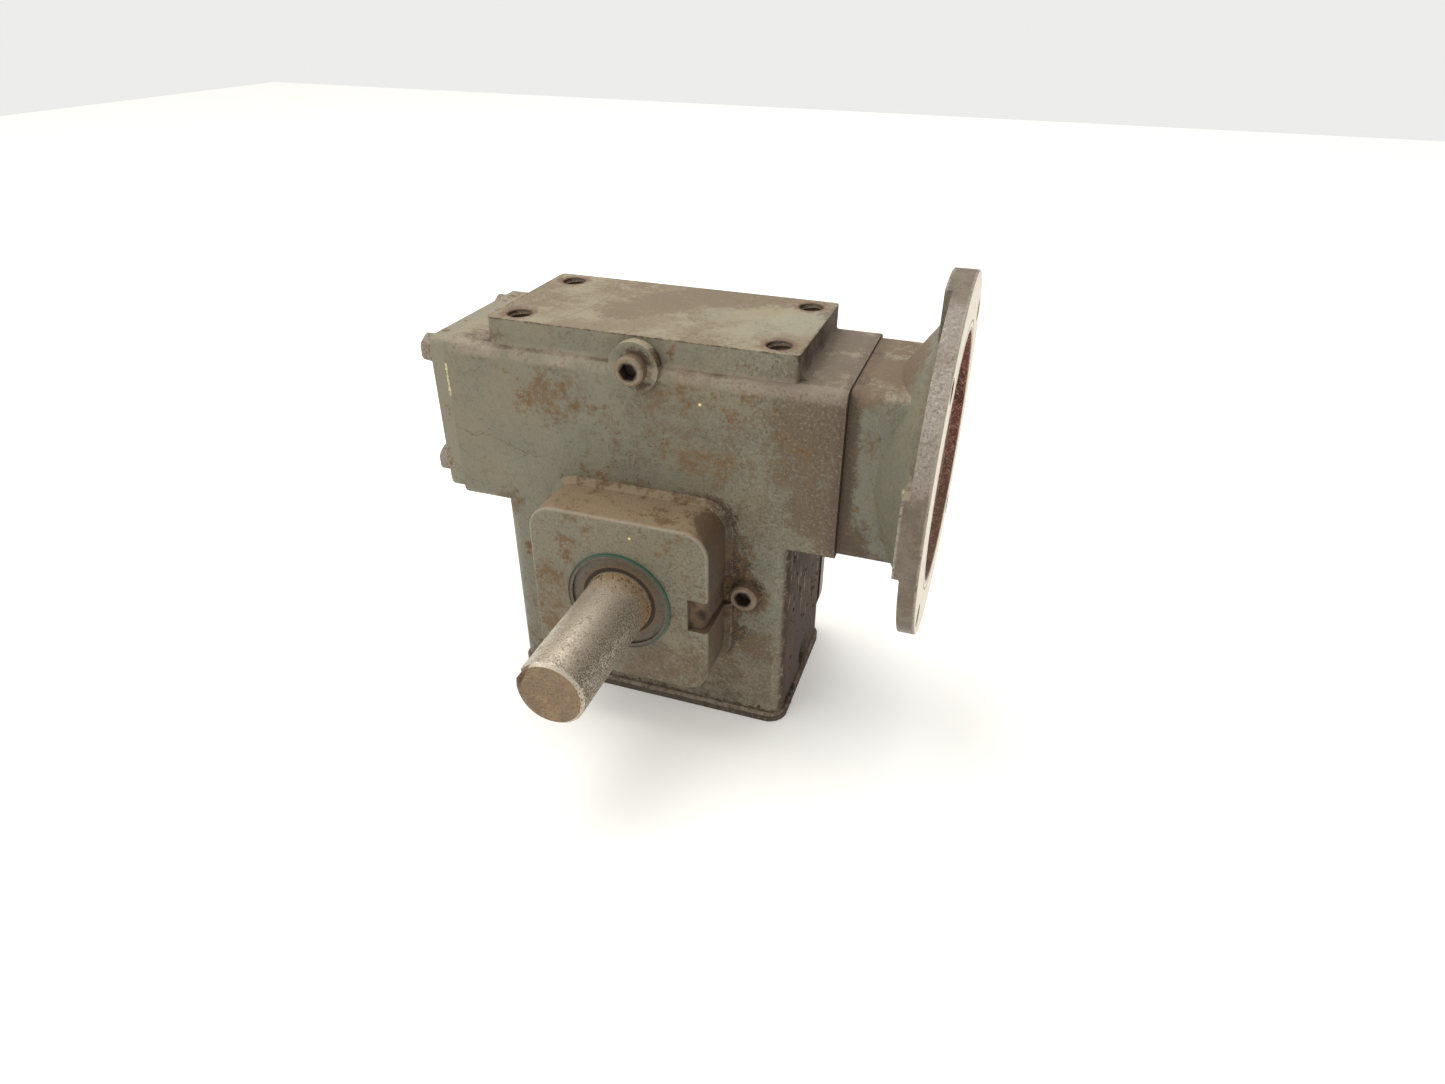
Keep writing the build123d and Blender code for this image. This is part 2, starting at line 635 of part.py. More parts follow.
def rear_cover():
    inner = TUNNEL_HALF_Y + GASKET
    outer = inner + REAR_COVER_THICK
    plate = rear_plate(inner, outer)
    plate = fillet(plate.faces().sort_by(Axis.Y)[-1].outer_wire().edges(), REAR_COVER_EDGE_R)
    spigot_r = REAR_OPENING_R - SPIGOT_GAP
    spigot = ring_y(spigot_r, spigot_r - REAR_SPIGOT_WALL, REAR_SPIGOT_Y, inner + OVERCUT)
    hub = rod_y(REAR_HUB_R, REAR_HUB_Y, outer)
    cap = rod_y(REAR_CAP_R, inner, REAR_CAP_Y)
    cap = fillet(cap.edges().sort_by(Axis.Y)[-1], REAR_COVER_EDGE_R)
    seat = rod_y(OUTPUT_BEARING[1], REAR_HUB_Y - OVERCUT, REAR_SEAT_END_Y)
    return plate + spigot + hub + cap - seat


def rear_cover_gasket():
    sheet = rear_plate(TUNNEL_HALF_Y, TUNNEL_HALF_Y + GASKET)
    return sheet - rod_y(REAR_OPENING_R, TUNNEL_HALF_Y - OVERCUT, TUNNEL_HALF_Y + OVERCUT)


# --- bearings, made about Z from z = 0 upwards ----------------------------------------------------
def bearing_plan(bearing):
    """Middle radius, ball radius and half the space between the rings."""
    bore_r, outer_r, _ = bearing
    ball_r = BALL_SHARE * (outer_r - bore_r)
    return (bore_r + outer_r) / 2, ball_r, RACE_SHARE * ball_r


def race_groove(bearing):
    middle_r, ball_r, _ = bearing_plan(bearing)
    return Pos(0, 0, bearing[2] / 2) * Torus(middle_r, ball_r + RACE_GAP)


def bearing_tube(outer_r, inner_r, width):
    return Pos(0, 0, width / 2) * (Cylinder(outer_r, width) - Cylinder(inner_r, width + OVERCUT))


def outer_ring(bearing):
    middle_r, _, half_gap = bearing_plan(bearing)
    return bearing_tube(bearing[1], middle_r + half_gap, bearing[2]) - race_groove(bearing)


def inner_ring(bearing):
    middle_r, _, half_gap = bearing_plan(bearing)
    return bearing_tube(middle_r - half_gap, bearing[0], bearing[2]) - race_groove(bearing)


def ball_places(bearing):
    """One placement per ball, with its X axis pointing outwards along the bearing's radius."""
    middle_r, ball_r, _ = bearing_plan(bearing)
    count = math.floor(2 * math.pi * middle_r / (BALL_SPACING * ball_r))
    middle = Pos(0, 0, bearing[2] / 2)
    return [middle * Rot(0, 0, 360 * index / count) * Pos(middle_r, 0, 0) for index in range(count)]


def balls(bearing, place):
    """The set of balls, each put in its place in the gearbox."""
    ball_r = bearing_plan(bearing)[1]
    return group([place * spot * Sphere(ball_r) for spot in ball_places(bearing)])


def cage(bearing):
    middle_r, ball_r, _ = bearing_plan(bearing)
    half_thick = CAGE_HALF_THICK_SHARE * ball_r
    width = 2 * CAGE_HALF_WIDTH_SHARE * ball_r
    ring = Pos(0, 0, bearing[2] / 2) * (
        Cylinder(middle_r + half_thick, width) - Cylinder(middle_r - half_thick, width + OVERCUT)
    )
    pocket = Rot(0, 90, 0) * Cylinder(ball_r + CAGE_POCKET_GAP, 2 * (half_thick + OVERCUT))
    for spot in ball_places(bearing):
        ring -= spot * pocket
    return ring


def on_output_shaft(start_y):
    """The placement of a piece made about Z whose near face lies at start_y on the output shaft."""
    return Pos(0, start_y, SHAFT_Z) * Rot(-90, 0, 0)


def front_bearing_snap_ring():
    start = FRONT_BEARING_Y + OUTPUT_BEARING[2]
    ring = ring_y(SNAP_RING_OUTER_R, SNAP_RING_INNER_R, start, start + SNAP_RING_THICK)
    gap = block(
        (-OUTPUT_BEARING[0], OUTPUT_BEARING[0]),
        (start - OVERCUT, start + SNAP_RING_THICK + OVERCUT),
        (SHAFT_Z - SNAP_GROOVE_R - OVERCUT, SHAFT_Z),
    )
    return ring - gap


# --- oil seals ------------------------------------------------------------------------------------
def output_seal_coating():
    return ring_y(SEAL_OUTER_R, SEAL_OUTER_R - SEAL_COAT, SEAL_FACE_Y, SEAL_INNER_Y)


def output_seal_case():
    lip_r = SEAL_JOURNAL_R + SEAL_RUNNING_GAP + SEAL_LIP_THICK
    outer_r = SEAL_OUTER_R - SEAL_COAT
    case = ring_y(outer_r, lip_r, SEAL_FACE_Y, SEAL_INNER_Y)
    dish = ring_y(
        outer_r - SEAL_FACE_RIM, lip_r - OVERCUT, SEAL_FACE_Y - OVERCUT, SEAL_FACE_Y + SEAL_FACE_DISH
    )
    return case - dish


def output_seal_lip():
    bore_r = SEAL_JOURNAL_R + SEAL_RUNNING_GAP
    return ring_y(bore_r + SEAL_LIP_THICK, bore_r, SEAL_FACE_Y + SEAL_FACE_DISH, SEAL_INNER_Y)


def input_seal_case():
    lip_r = WORM_JOURNAL_R + SEAL_RUNNING_GAP + SEAL_LIP_THICK
    return ring_x(INPUT_SEAL_R, lip_r, *INPUT_SEAL_X)


def input_seal_lip():
    bore_r = WORM_JOURNAL_R + SEAL_RUNNING_GAP
    return ring_x(bore_r + SEAL_LIP_THICK, bore_r, *INPUT_SEAL_X)


# --- output shaft and worm wheel ------------------------------------------------------------------
def output_shaft():
    bearing_r = OUTPUT_BEARING[0]
    free_end = rod_y(SHAFT_R, SHAFT_END_Y, SEAL_JOURNAL_Y)
    free_end = chamfer(free_end.edges().sort_by(Axis.Y)[0], SHAFT_CHAMFER)
    rear_end = rod_y(bearing_r, WHEEL_SEAT_Y[1], SHAFT_REAR_Y)
    rear_end = chamfer(rear_end.edges().sort_by(Axis.Y)[-1], SHAFT_CHAMFER)
    shaft = (
        free_end
        + rod_y(SEAL_JOURNAL_R, SEAL_JOURNAL_Y, FRONT_BEARING_Y)
        + rod_y(bearing_r, FRONT_BEARING_Y, SHOULDER_Y[0])
        + rod_y(SHOULDER_R, *SHOULDER_Y)
        + rod_y(WHEEL_SEAT_R, *WHEEL_SEAT_Y)
        + rear_end
    )
    return shaft - output_keyway() - wheel_key()


def output_keyway():
    slot = block(
        (SHAFT_R - KEYWAY_DEPTH, SHAFT_R + OVERCUT),
        (SHAFT_END_Y - OVERCUT, SHAFT_END_Y + KEYWAY_LENGTH),
        (-KEYWAY_WIDTH / 2, KEYWAY_WIDTH / 2),
    )
    run_out_y = SHAFT_END_Y + KEYWAY_LENGTH
    run_out = Pos(SHAFT_R - KEYWAY_DEPTH / 2 + OVERCUT / 2, run_out_y, 0) * (
        Rot(0, 90, 0) * Cylinder(KEYWAY_WIDTH / 2, KEYWAY_DEPTH + OVERCUT)
    )
    return Pos(0, 0, SHAFT_Z) * Rot(0, -KEYWAY_ANGLE, 0) * (slot + run_out)


def wheel_key():
    return block(
        (-WHEEL_KEY_WIDTH / 2, WHEEL_KEY_WIDTH / 2),
        (-WHEEL_KEY_LENGTH / 2, WHEEL_KEY_LENGTH / 2),
        (SHAFT_Z + WHEEL_SEAT_R - WHEEL_KEY_HEIGHT / 2, SHAFT_Z + WHEEL_SEAT_R + WHEEL_KEY_HEIGHT / 2),
    )


def tooth_outline():
    """Half of one tooth in the wheel's transverse plane, as (radius, half angle) pairs from the root."""
    pressure = math.radians(PRESSURE_ANGLE)
    base_r = WHEEL_PITCH_R * math.cos(pressure)
    tip_r = WHEEL_PITCH_R + ADDENDUM
    pitch_half = (math.pi * MODULE / 2 - 2 * FLANK_CLEARANCE) / 2 / WHEEL_PITCH_R
    involute_at_pitch = math.tan(pressure) - pressure
    pairs = []
    for step in range(FLANK_STEPS + 1):
        radius = base_r + (tip_r - base_r) * step / FLANK_STEPS
        roll = math.acos(base_r / radius)
        pairs.append((radius, pitch_half + involute_at_pitch - (math.tan(roll) - roll)))
    root_r = WHEEL_PITCH_R - DEDENDUM
    return [(root_r, pairs[0][1])] + pairs


def wheel_outline(turn):
    """The corners of the whole toothed outline in the XY plane, turned by an angle in radians."""
    half_tooth = tooth_outline()
    points = []
    for tooth in range(WHEEL_TEETH):
        centre = turn + 2 * math.pi * tooth / WHEEL_TEETH
        rising = [(radius, centre - half) for radius, half in half_tooth]
        falling = [(radius, centre + half) for radius, half in reversed(half_tooth)]
        points += [(radius * math.cos(angle), radius * math.sin(angle)) for radius, angle in rising + falling]
    return points


def worm_wheel_rim():
    """A helical bronze rim that meshes with the worm at rest: a tooth space faces the worm's thread."""
    half_face = WHEEL_FACE_WIDTH / 2
    twist = half_face * math.tan(math.radians(LEAD_ANGLE)) / WHEEL_PITCH_R
    start = math.pi / 2 + math.pi / WHEEL_TEETH
    sections = []
    for side in (-1, 1):
        points = [Vector(x, y, side * half_face) for x, y in wheel_outline(start + side * twist)]
        sections.append(Wire.make_polygon(points, close=True))
    blank = Solid.make_loft(sections, ruled=True)
    rim = Pos(0, 0, SHAFT_Z) * Rot(90, 0, 0) * blank
    return rim - rod_y(RIM_INNER_R, -WHEEL_FACE_WIDTH, WHEEL_FACE_WIDTH)


def worm_wheel_hub():
    sleeve = rod_y(HUB_R, *WHEEL_SEAT_Y)
    disc = rod_y(RIM_INNER_R, -HUB_DISC_HALF_Y, HUB_DISC_HALF_Y)
    bore = rod_y(WHEEL_SEAT_R, WHEEL_SEAT_Y[0] - OVERCUT, WHEEL_SEAT_Y[1] + OVERCUT)
    return sleeve + disc - bore - wheel_key()


def wheel_spacer():
    return ring_y(SPACER_OUTER_R, OUTPUT_BEARING[0], WHEEL_SEAT_Y[1], REAR_BEARING_Y)


# --- worm shaft -----------------------------------------------------------------------------------
def worm_thread():
    """One right-hand thread about Z, centred on z = 0, with straight flanks in the axial plane."""
    flank = math.tan(math.radians(PRESSURE_ANGLE))
    start_r = WORM_ROOT_R - THREAD_ROOT_OVERLAP
    pitch_half = WORM_LEAD / 4 - FLANK_CLEARANCE
    root_half = pitch_half + (WORM_PITCH_R - start_r) * flank
    tip_half = pitch_half - ADDENDUM * flank
    turns = math.ceil(WORM_THREAD_LENGTH / WORM_LEAD / 2) * 2 + 2
    length = turns * WORM_LEAD
    path = Helix(WORM_LEAD, length, start_r)
    corners = [(start_r, -root_half), (WORM_TIP_R, -tip_half), (WORM_TIP_R, tip_half), (start_r, root_half)]
    profile = Plane.XZ * Polygon(*corners, align=None)
    thread = Pos(0, 0, -length / 2) * sweep(profile, path, is_frenet=True)
    window = Cylinder(WORM_TIP_R + OVERCUT, WORM_THREAD_LENGTH)
    return thread & window


def worm_shaft():
    """The worm is cut on its own shaft; the motor end is hollow for a keyed motor shaft."""
    input_x = WORM_INPUT_BEARING_X
    end_x = WORM_END_BEARING_X + WORM_END_BEARING[2]
    thread = on_worm(0) * worm_thread()
    core = rod_x(WORM_ROOT_R, WORM_SHOULDER_END_X - OVERCUT, WORM_SHOULDER_INPUT_X + OVERCUT)
    nose = rod_x(WORM_JOURNAL_R, TUNNEL_END_X - OVERCUT, WORM_INPUT_END_X)
    nose = chamfer(nose.edges().sort_by(Axis.X)[-1], PLUG_CHAMFER)
    shaft = (
        core
        + thread
        + rod_x(WORM_SHOULDER_INPUT_R, WORM_SHOULDER_INPUT_X, input_x)
        + rod_x(WORM_INPUT_BEARING[0], input_x, TUNNEL_END_X)
        + nose
        + rod_x(WORM_SHOULDER_END_R, end_x, WORM_SHOULDER_END_X)
        + rod_x(WORM_END_BEARING[0], WORM_REAR_END_X, end_x)
    )
    bore = rod_x(MOTOR_BORE_R, MOTOR_BORE_START_X, WORM_INPUT_END_X + OVERCUT)
    keyway = block(
        (MOTOR_BORE_START_X, WORM_INPUT_END_X + OVERCUT),
        (-MOTOR_KEYWAY_WIDTH / 2, MOTOR_KEYWAY_WIDTH / 2),
        (WORM_Z, WORM_Z + MOTOR_BORE_R + MOTOR_KEYWAY_RISE),
    )
    return shaft - bore - keyway


# --- the whole reducer, node by node --------------------------------------------------------------
def all_nodes():
    end_bolt = hex_bolt(END_COVER_THICK + GASKET + BOLT_GRIP)
    rear_bolt = hex_bolt(REAR_COVER_THICK + GASKET + BOLT_GRIP)
    nodes = {
        "housing_casting": housing_casting(),
        "end_cover": end_cover(),
        "end_cover_gasket": end_cover_gasket(),
        "end_cover_bolts": end_cover_fasteners(end_bolt, WASHER_THICK),
        "end_cover_washers": end_cover_fasteners(lock_washer(), 0),
        "input_adapter": input_adapter(),
        "adapter_gasket": adapter_gasket(),
        "adapter_screws": adapter_screws(),
        "rear_cover": rear_cover(),
        "rear_cover_gasket": rear_cover_gasket(),
        "rear_cover_bolts": rear_cover_fasteners(rear_bolt, WASHER_THICK),
        "rear_cover_washers": rear_cover_fasteners(lock_washer(), 0),
        "fill_plug": fill_plug(),
        "level_plug": level_plug(),
        "drain_plug": drain_plug(),
        "output_seal_coating": output_seal_coating(),
        "output_seal_case": output_seal_case(),
        "output_seal_lip": output_seal_lip(),
        "input_seal_case": input_seal_case(),
        "input_seal_lip": input_seal_lip(),
        "front_bearing_snap_ring": front_bearing_snap_ring(),
        "output_shaft": output_shaft(),
        "wheel_key": wheel_key(),
        "worm_wheel_rim": worm_wheel_rim(),
        "worm_wheel_hub": worm_wheel_hub(),
        "wheel_spacer": wheel_spacer(),
        "worm_shaft": worm_shaft(),
    }
    for name, bearing, place in (
        ("front_bearing", OUTPUT_BEARING, on_output_shaft(FRONT_BEARING_Y)),
        ("rear_bearing", OUTPUT_BEARING, on_output_shaft(REAR_BEARING_Y)),
        ("worm_input_bearing", WORM_INPUT_BEARING, on_worm(WORM_INPUT_BEARING_X)),
        ("worm_end_bearing", WORM_END_BEARING, on_worm(WORM_END_BEARING_X)),
    ):
        nodes[name + "_outer_ring"] = place * outer_ring(bearing)
        nodes[name + "_inner_ring"] = place * inner_ring(bearing)
        nodes[name + "_cage"] = place * cage(bearing)
        nodes[name + "_balls"] = balls(bearing, place)
    return nodes


def main():
    os.makedirs("parts", exist_ok=True)
    for name, shape in all_nodes().items():
        export_step(shape, os.path.join("parts", name + ".step"))


main()
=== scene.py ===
import json
import math

import bmesh
import bpy
import numpy as np
from mathutils import Matrix, Vector


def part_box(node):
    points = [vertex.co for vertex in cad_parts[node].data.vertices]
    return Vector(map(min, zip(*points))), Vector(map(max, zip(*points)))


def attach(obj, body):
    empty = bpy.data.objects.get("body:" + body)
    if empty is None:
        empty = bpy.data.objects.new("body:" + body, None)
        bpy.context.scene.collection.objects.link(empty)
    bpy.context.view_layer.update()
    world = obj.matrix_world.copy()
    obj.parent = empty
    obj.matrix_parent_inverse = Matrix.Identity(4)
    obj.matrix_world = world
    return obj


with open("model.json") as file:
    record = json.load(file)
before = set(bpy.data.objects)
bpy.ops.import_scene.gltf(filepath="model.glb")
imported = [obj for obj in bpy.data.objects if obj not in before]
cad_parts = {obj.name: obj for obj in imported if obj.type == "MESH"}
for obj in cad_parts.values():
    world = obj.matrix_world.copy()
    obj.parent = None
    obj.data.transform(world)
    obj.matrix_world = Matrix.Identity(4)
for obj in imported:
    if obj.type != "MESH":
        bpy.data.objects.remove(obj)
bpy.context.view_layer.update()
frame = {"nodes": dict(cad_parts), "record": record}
NODES = frame["nodes"]

MM = 0.001


# --- places in the frame, in millimetres ---------------------------------------------------------
def span(node):
    """The lowest and highest corner of a CAD node, in millimetres."""
    low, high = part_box(node)
    return [v / MM for v in low], [v / MM for v in high]


def middle(node):
    """The middle of a CAD node's box, in millimetres."""
    return [(low + high) / 2 for low, high in zip(*span(node))]


SHAFT_END = span("output_shaft")[0][1]
CASE_LOW, CASE_HIGH = span("housing_casting")
ADAPTER_LOW, ADAPTER_HIGH = span("input_adapter")
COVER_HIGH = span("end_cover")[1]
SEAL_LOW, SEAL_HIGH = span("output_seal_coating")
FILL_X, _, FILL_Z = middle("fill_plug")
LEVEL_X, _, LEVEL_Z = middle("level_plug")
_, DRAIN_Y, DRAIN_Z = middle("drain_plug")

# places that the boxes give
SHAFT_Z = (SEAL_LOW[2] + SEAL_HIGH[2]) / 2
WORM_Z = (ADAPTER_LOW[2] + ADAPTER_HIGH[2]) / 2
PAD_TOP = CASE_HIGH[2]
BOSS_FACE = CASE_LOW[1]
FLANGE_FACE = ADAPTER_HIGH[0]
FLANGE_R = (ADAPTER_HIGH[2] - ADAPTER_LOW[2]) / 2
SEAM_X = ADAPTER_LOW[0]
SEAL_R = (SEAL_HIGH[0] - SEAL_LOW[0]) / 2

# places and sizes of the castings' and the shaft's own features
FRONT_Y = -41.275
CASE_X = 74.6
TUNNEL_TOP = 187.3
TUNNEL_BOTTOM = 104.8
LIP_TOP = 5.0
PAD_X = 73.6
PAD_Y = 38.1
HOLE_X = 62.0
HOLE_Y = 27.8
HOLE_R = 5.5
THREAD_DEPTH = 16.0
THREAD_PITCH = 1.954
BOSS_HALF = 44.45
BOSS_CORNER = 12.7
NOTCH_X = 34.6
NOTCH_HALF = 8.75
ADAPTER_FRONT = -38.5
ADAPTER_TOP = 186.5
REGISTER_R = 57.15
PLUG_SEAT_R = 6.85
DRAIN_SEAT_R = 8.6
SHAFT_R = 15.875
KEYWAY_ANGLE = math.radians(155)
KEYWAY_END = SHAFT_END + 50


# --- a small language for materials ------------------------------------------------------------------
def tint(red, green, blue):
    """A linear colour from 0-255 display numbers."""
    def linear(value):
        value = value / 255
        return value / 12.92 if value <= 0.04045 else ((value + 0.055) / 1.055) ** 2.4
    return (linear(red), linear(green), linear(blue), 1.0)


class Num:
    """A number in a material. Arithmetic on it makes nodes."""

    def __init__(self, look, out):
        self.look = look
        self.out = out

    def _math(self, operation, *values, clamp=False):
        node = self.look.node("ShaderNodeMath")
        node.operation = operation
        node.use_clamp = clamp
        for value, socket in zip(values, node.inputs):
            self.look.plug(value, socket)
        return Num(self.look, node.outputs[0])

    def __add__(self, other):
        return self._math("ADD", self, other)

    def __radd__(self, other):
        return self._math("ADD", other, self)

    def __sub__(self, other):
        return self._math("SUBTRACT", self, other)

    def __rsub__(self, other):
        return self._math("SUBTRACT", other, self)

    def __mul__(self, other):
        return self._math("MULTIPLY", self, other)

    def __rmul__(self, other):
        return self._math("MULTIPLY", other, self)

    def __truediv__(self, other):
        return self._math("DIVIDE", self, other)

    def __neg__(self):
        return self._math("MULTIPLY", self, -1.0)

    def __abs__(self):
        return self._math("ABSOLUTE", self)

    def most(self, other):
        return self._math("MAXIMUM", self, other)

    def root(self):
        return self._math("SQRT", self)

    def held(self):
        """Clamped between 0 and 1."""
        return self._math("ADD", self, 0.0, clamp=True)

    def rise(self, low, high):
        """0 below low, 1 above high, smooth between. With high below low it falls instead."""
        node = self.look.node("ShaderNodeMapRange")
        node.interpolation_type = "SMOOTHSTEP"
        self.look.plug(self, node.inputs["Value"])
        flip = high < low
        node.inputs["From Min"].default_value = high if flip else low
        node.inputs["From Max"].default_value = low if flip else high
        node.inputs["To Min"].default_value = 1.0 if flip else 0.0
        node.inputs["To Max"].default_value = 0.0 if flip else 1.0
        return Num(self.look, node.outputs["Result"])

    def between(self, low, high, soft):
        """1 from low to high, falling to 0 over soft on both sides."""
        return self.rise(low - soft, low) * self.rise(high + soft, high)


class Look:
    """One material, built up in layers over a base colour, with places in millimetres."""

    def __init__(self, name, base, roughness=0.6, metallic=0.0):
        self.material = bpy.data.materials.new(name)
        self.material.use_nodes = True
        self.tree = self.material.node_tree
        self.shader = self.tree.nodes["Principled BSDF"]
        self.metal = None
        self.base_metallic = metallic
        self.shader.inputs["Metallic"].default_value = metallic
        coords = self.node("ShaderNodeTexCoord")
        scale = self.node("ShaderNodeVectorMath")
        scale.operation = "SCALE"
        scale.inputs["Scale"].default_value = 1 / MM
        self.tree.links.new(coords.outputs["Object"], scale.inputs[0])
        self.place = scale.outputs["Vector"]
        self.x, self.y, self.z = self.split(self.place)
        self.nx, self.ny, self.nz = self.split(self.node("ShaderNodeNewGeometry").outputs["Normal"])
        self.colour = base
        self.rough = roughness
        self.height = None
        self.warped = self.place

    def node(self, kind):
        return self.tree.nodes.new(kind)

    def plug(self, value, socket):
        """Links a number or an output to a socket, or sets the socket to a plain value."""
        if isinstance(value, Num):
            self.tree.links.new(value.out, socket)
        elif isinstance(value, bpy.types.NodeSocket):
            self.tree.links.new(value, socket)
        else:
            socket.default_value = value

    def split(self, vector):
        node = self.node("ShaderNodeSeparateXYZ")
        self.tree.links.new(vector, node.inputs[0])
        return [Num(self, out) for out in node.outputs]

    def warp(self, size, amount):
        """Bends the places that spots are measured from, so that their outlines are ragged."""
        noise = self.node("ShaderNodeTexNoise")
        self.tree.links.new(self.place, noise.inputs["Vector"])
        noise.inputs["Scale"].default_value = 1 / size
        noise.inputs["Detail"].default_value = 3.0
        noise.inputs["Roughness"].default_value = 0.6
        offset = self.node("ShaderNodeVectorMath")
        offset.operation = "SUBTRACT"
        self.tree.links.new(noise.outputs["Color"], offset.inputs[0])
        offset.inputs[1].default_value = (0.5, 0.5, 0.5)
        scaled = self.node("ShaderNodeVectorMath")
        scaled.operation = "SCALE"
        scaled.inputs["Scale"].default_value = amount
        self.tree.links.new(offset.outputs["Vector"], scaled.inputs[0])
        moved = self.node("ShaderNodeVectorMath")
        moved.operation = "ADD"
        self.tree.links.new(self.place, moved.inputs[0])
        self.tree.links.new(scaled.outputs["Vector"], moved.inputs[1])
        self.warped = moved.outputs["Vector"]

    def stretched(self, source, stretch, shift=(0.0, 0.0, 0.0)):
        """A place scaled along each axis, then moved."""
        if stretch == (1, 1, 1) and shift == (0.0, 0.0, 0.0):
            return source
        node = self.node("ShaderNodeVectorMath")
        node.operation = "MULTIPLY_ADD"
        self.tree.links.new(source, node.inputs[0])
        node.inputs[1].default_value = stretch
        node.inputs[2].default_value = shift
        return node.outputs["Vector"]

    def noise(self, size, detail=3.0, rough=0.55, stretch=(1, 1, 1), shift=0.0):
        """Fractal noise around 0.5, with features of a size in millimetres."""
        node = self.node("ShaderNodeTexNoise")
        vector = self.stretched(self.place, stretch, (shift, shift * 0.7, shift * 1.3))
        self.tree.links.new(vector, node.inputs["Vector"])
        node.inputs["Scale"].default_value = 1 / size
        node.inputs["Detail"].default_value = detail
        node.inputs["Roughness"].default_value = rough
        return Num(self, node.outputs["Fac"])

    def spot(self, centre, radius, stretch=(1, 1, 1)):
        """1 near centre, 0 beyond radius, over warped places."""
        node = self.node("ShaderNodeVectorMath")
        node.operation = "DISTANCE"
        self.tree.links.new(self.stretched(self.warped, stretch), node.inputs[0])
        node.inputs[1].default_value = [c * s for c, s in zip(centre, stretch)]
        return Num(self, node.outputs["Value"]).rise(radius, radius * 0.35)

    def spot_plain(self, centre, radius):
        """A round spot over places that aren't warped."""
        node = self.node("ShaderNodeVectorMath")
        node.operation = "DISTANCE"
        self.tree.links.new(self.place, node.inputs[0])
        node.inputs[1].default_value = centre
        return Num(self, node.outputs["Value"]).rise(radius, radius * 0.6)

    def spots(self, entries):
        """The strongest of several spots: (centre, radius, strength) or with a stretch after it."""
        total = None
        for entry in entries:
            centre, radius, strength = entry[:3]
            one = self.spot(centre, radius, *entry[3:]) * strength
            total = one if total is None else total.most(one)
        return total

    def layer(self, amount, colour, roughness=None, metallic=None):
        """Covers what is there with a colour, as far as amount goes from 0 to 1."""
        node = self.node("ShaderNodeMix")
        node.data_type = "RGBA"
        self.plug(amount, node.inputs["Factor"])
        self.plug(self.colour, node.inputs["A"])
        self.plug(colour, node.inputs["B"])
        self.colour = node.outputs["Result"]
        if roughness is not None:
            self.rough = amount * (roughness - self.rough) + self.rough
        if metallic is not None:
            start = self.base_metallic if self.metal is None else self.metal
            self.metal = amount * (metallic - start) + start

    def shade(self, factor):
        """Multiplies the colour by a number around 1."""
        node = self.node("ShaderNodeVectorMath")
        node.operation = "SCALE"
        self.plug(self.colour[:3] if isinstance(self.colour, tuple) else self.colour, node.inputs[0])
        self.plug(factor, node.inputs["Scale"])
        self.colour = node.outputs["Vector"]

    def raise_by(self, height):
        """Adds to the bump, in millimetres."""
        self.height = height if self.height is None else self.height + height

    def done(self, specular=0.5):
        """Wires the layers and the bump to the shader."""
        self.plug(self.colour, self.shader.inputs["Base Color"])
        rough = self.rough.held() if isinstance(self.rough, Num) else self.rough
        self.plug(rough, self.shader.inputs["Roughness"])
        if self.metal is not None:
            self.plug(self.metal.held(), self.shader.inputs["Metallic"])
        self.shader.inputs["Specular IOR Level"].default_value = specular
        if self.height is not None:
            bump = self.node("ShaderNodeBump")
            bump.inputs["Strength"].default_value = 1.0
            bump.inputs["Distance"].default_value = MM
            self.plug(self.height, bump.inputs["Height"])
            self.tree.links.new(bump.outputs["Normal"], self.shader.inputs["Normal"])
        return self.material

    # outlines, as signed distances in millimetres: below 0 inside
    def round_box(self, first, second, half_first, half_second, corner):
        one = (abs(first) - (half_first - corner)).most(0.0)
        two = (abs(second) - (half_second - corner)).most(0.0)
        return (one * one + two * two).root() - corner

    def circle(self, first, second, radius):
        return (first * first + second * second).root() - radius


# --- looks of the painted castings -------------------------------------------------------------------
PAINT = tint(114, 111, 94)
PAINT_WARM = tint(120, 109, 87)
PAINT_COOL = tint(103, 103, 88)
FILM = tint(97, 81, 63)
# dark brown of grime and pits, used also for painted shade
DARK_GRIME_AND_SHADE = tint(66, 47, 33)
RUST = tint(98, 70, 44)
OCHRE = tint(111, 92, 64)
DUST = tint(148, 135, 112)
# pale worn paint, used also for painted highlights on edges
WEAR_AND_HIGHLIGHT = tint(150, 139, 121)
PURPLE = tint(92, 74, 62)
RUST_STRENGTH = 0.85


def cast_fields(look):
    """The noises that every painted casting shares."""
    look.warp(8.0, 16.0)
    look.wide = look.noise(55.0, 3)
    look.broad = look.noise(20.0, 4, 0.6, shift=7.0)
    look.mid = look.noise(7.0, 4, 0.6, shift=3.0)
    look.small = look.noise(2.6, 4, 0.7, shift=11.0)
    look.grain = look.noise(0.9, 2, 0.5, shift=5.0)
    look.front = (-look.ny).rise(0.55, 0.9)
    look.top = look.nz.rise(0.5, 0.85)
    look.right = look.nx.rise(0.55, 0.9)


def paint_base(look):
    """Grey-green enamel with warmer and cooler clouds, dust on top, and fine grime and wear."""
    look.layer(look.wide.rise(0.38, 0.64) * 0.75, PAINT_WARM)
    look.layer((look.broad * 0.7 + look.mid * 0.3).rise(0.42, 0.62) * 0.6, PAINT_COOL)
    look.layer(look.top * (look.broad * 0.8 + 0.35).held(), DUST, 0.7)
    look.layer((look.mid * 0.5 + look.small * 0.5).rise(0.5, 0.62) * 0.35, FILM, 0.7)
    look.layer((look.grain * 0.6 + look.small * 0.4).rise(0.56, 0.66) * 0.3, DARK_GRIME_AND_SHADE, 0.7)
    look.layer((look.grain * 0.6 + look.small * 0.4).rise(0.44, 0.36) * 0.25, WEAR_AND_HIGHLIGHT, 0.45)
    look.shade(0.74 + look.mid * 0.2 + look.grain * 0.34)


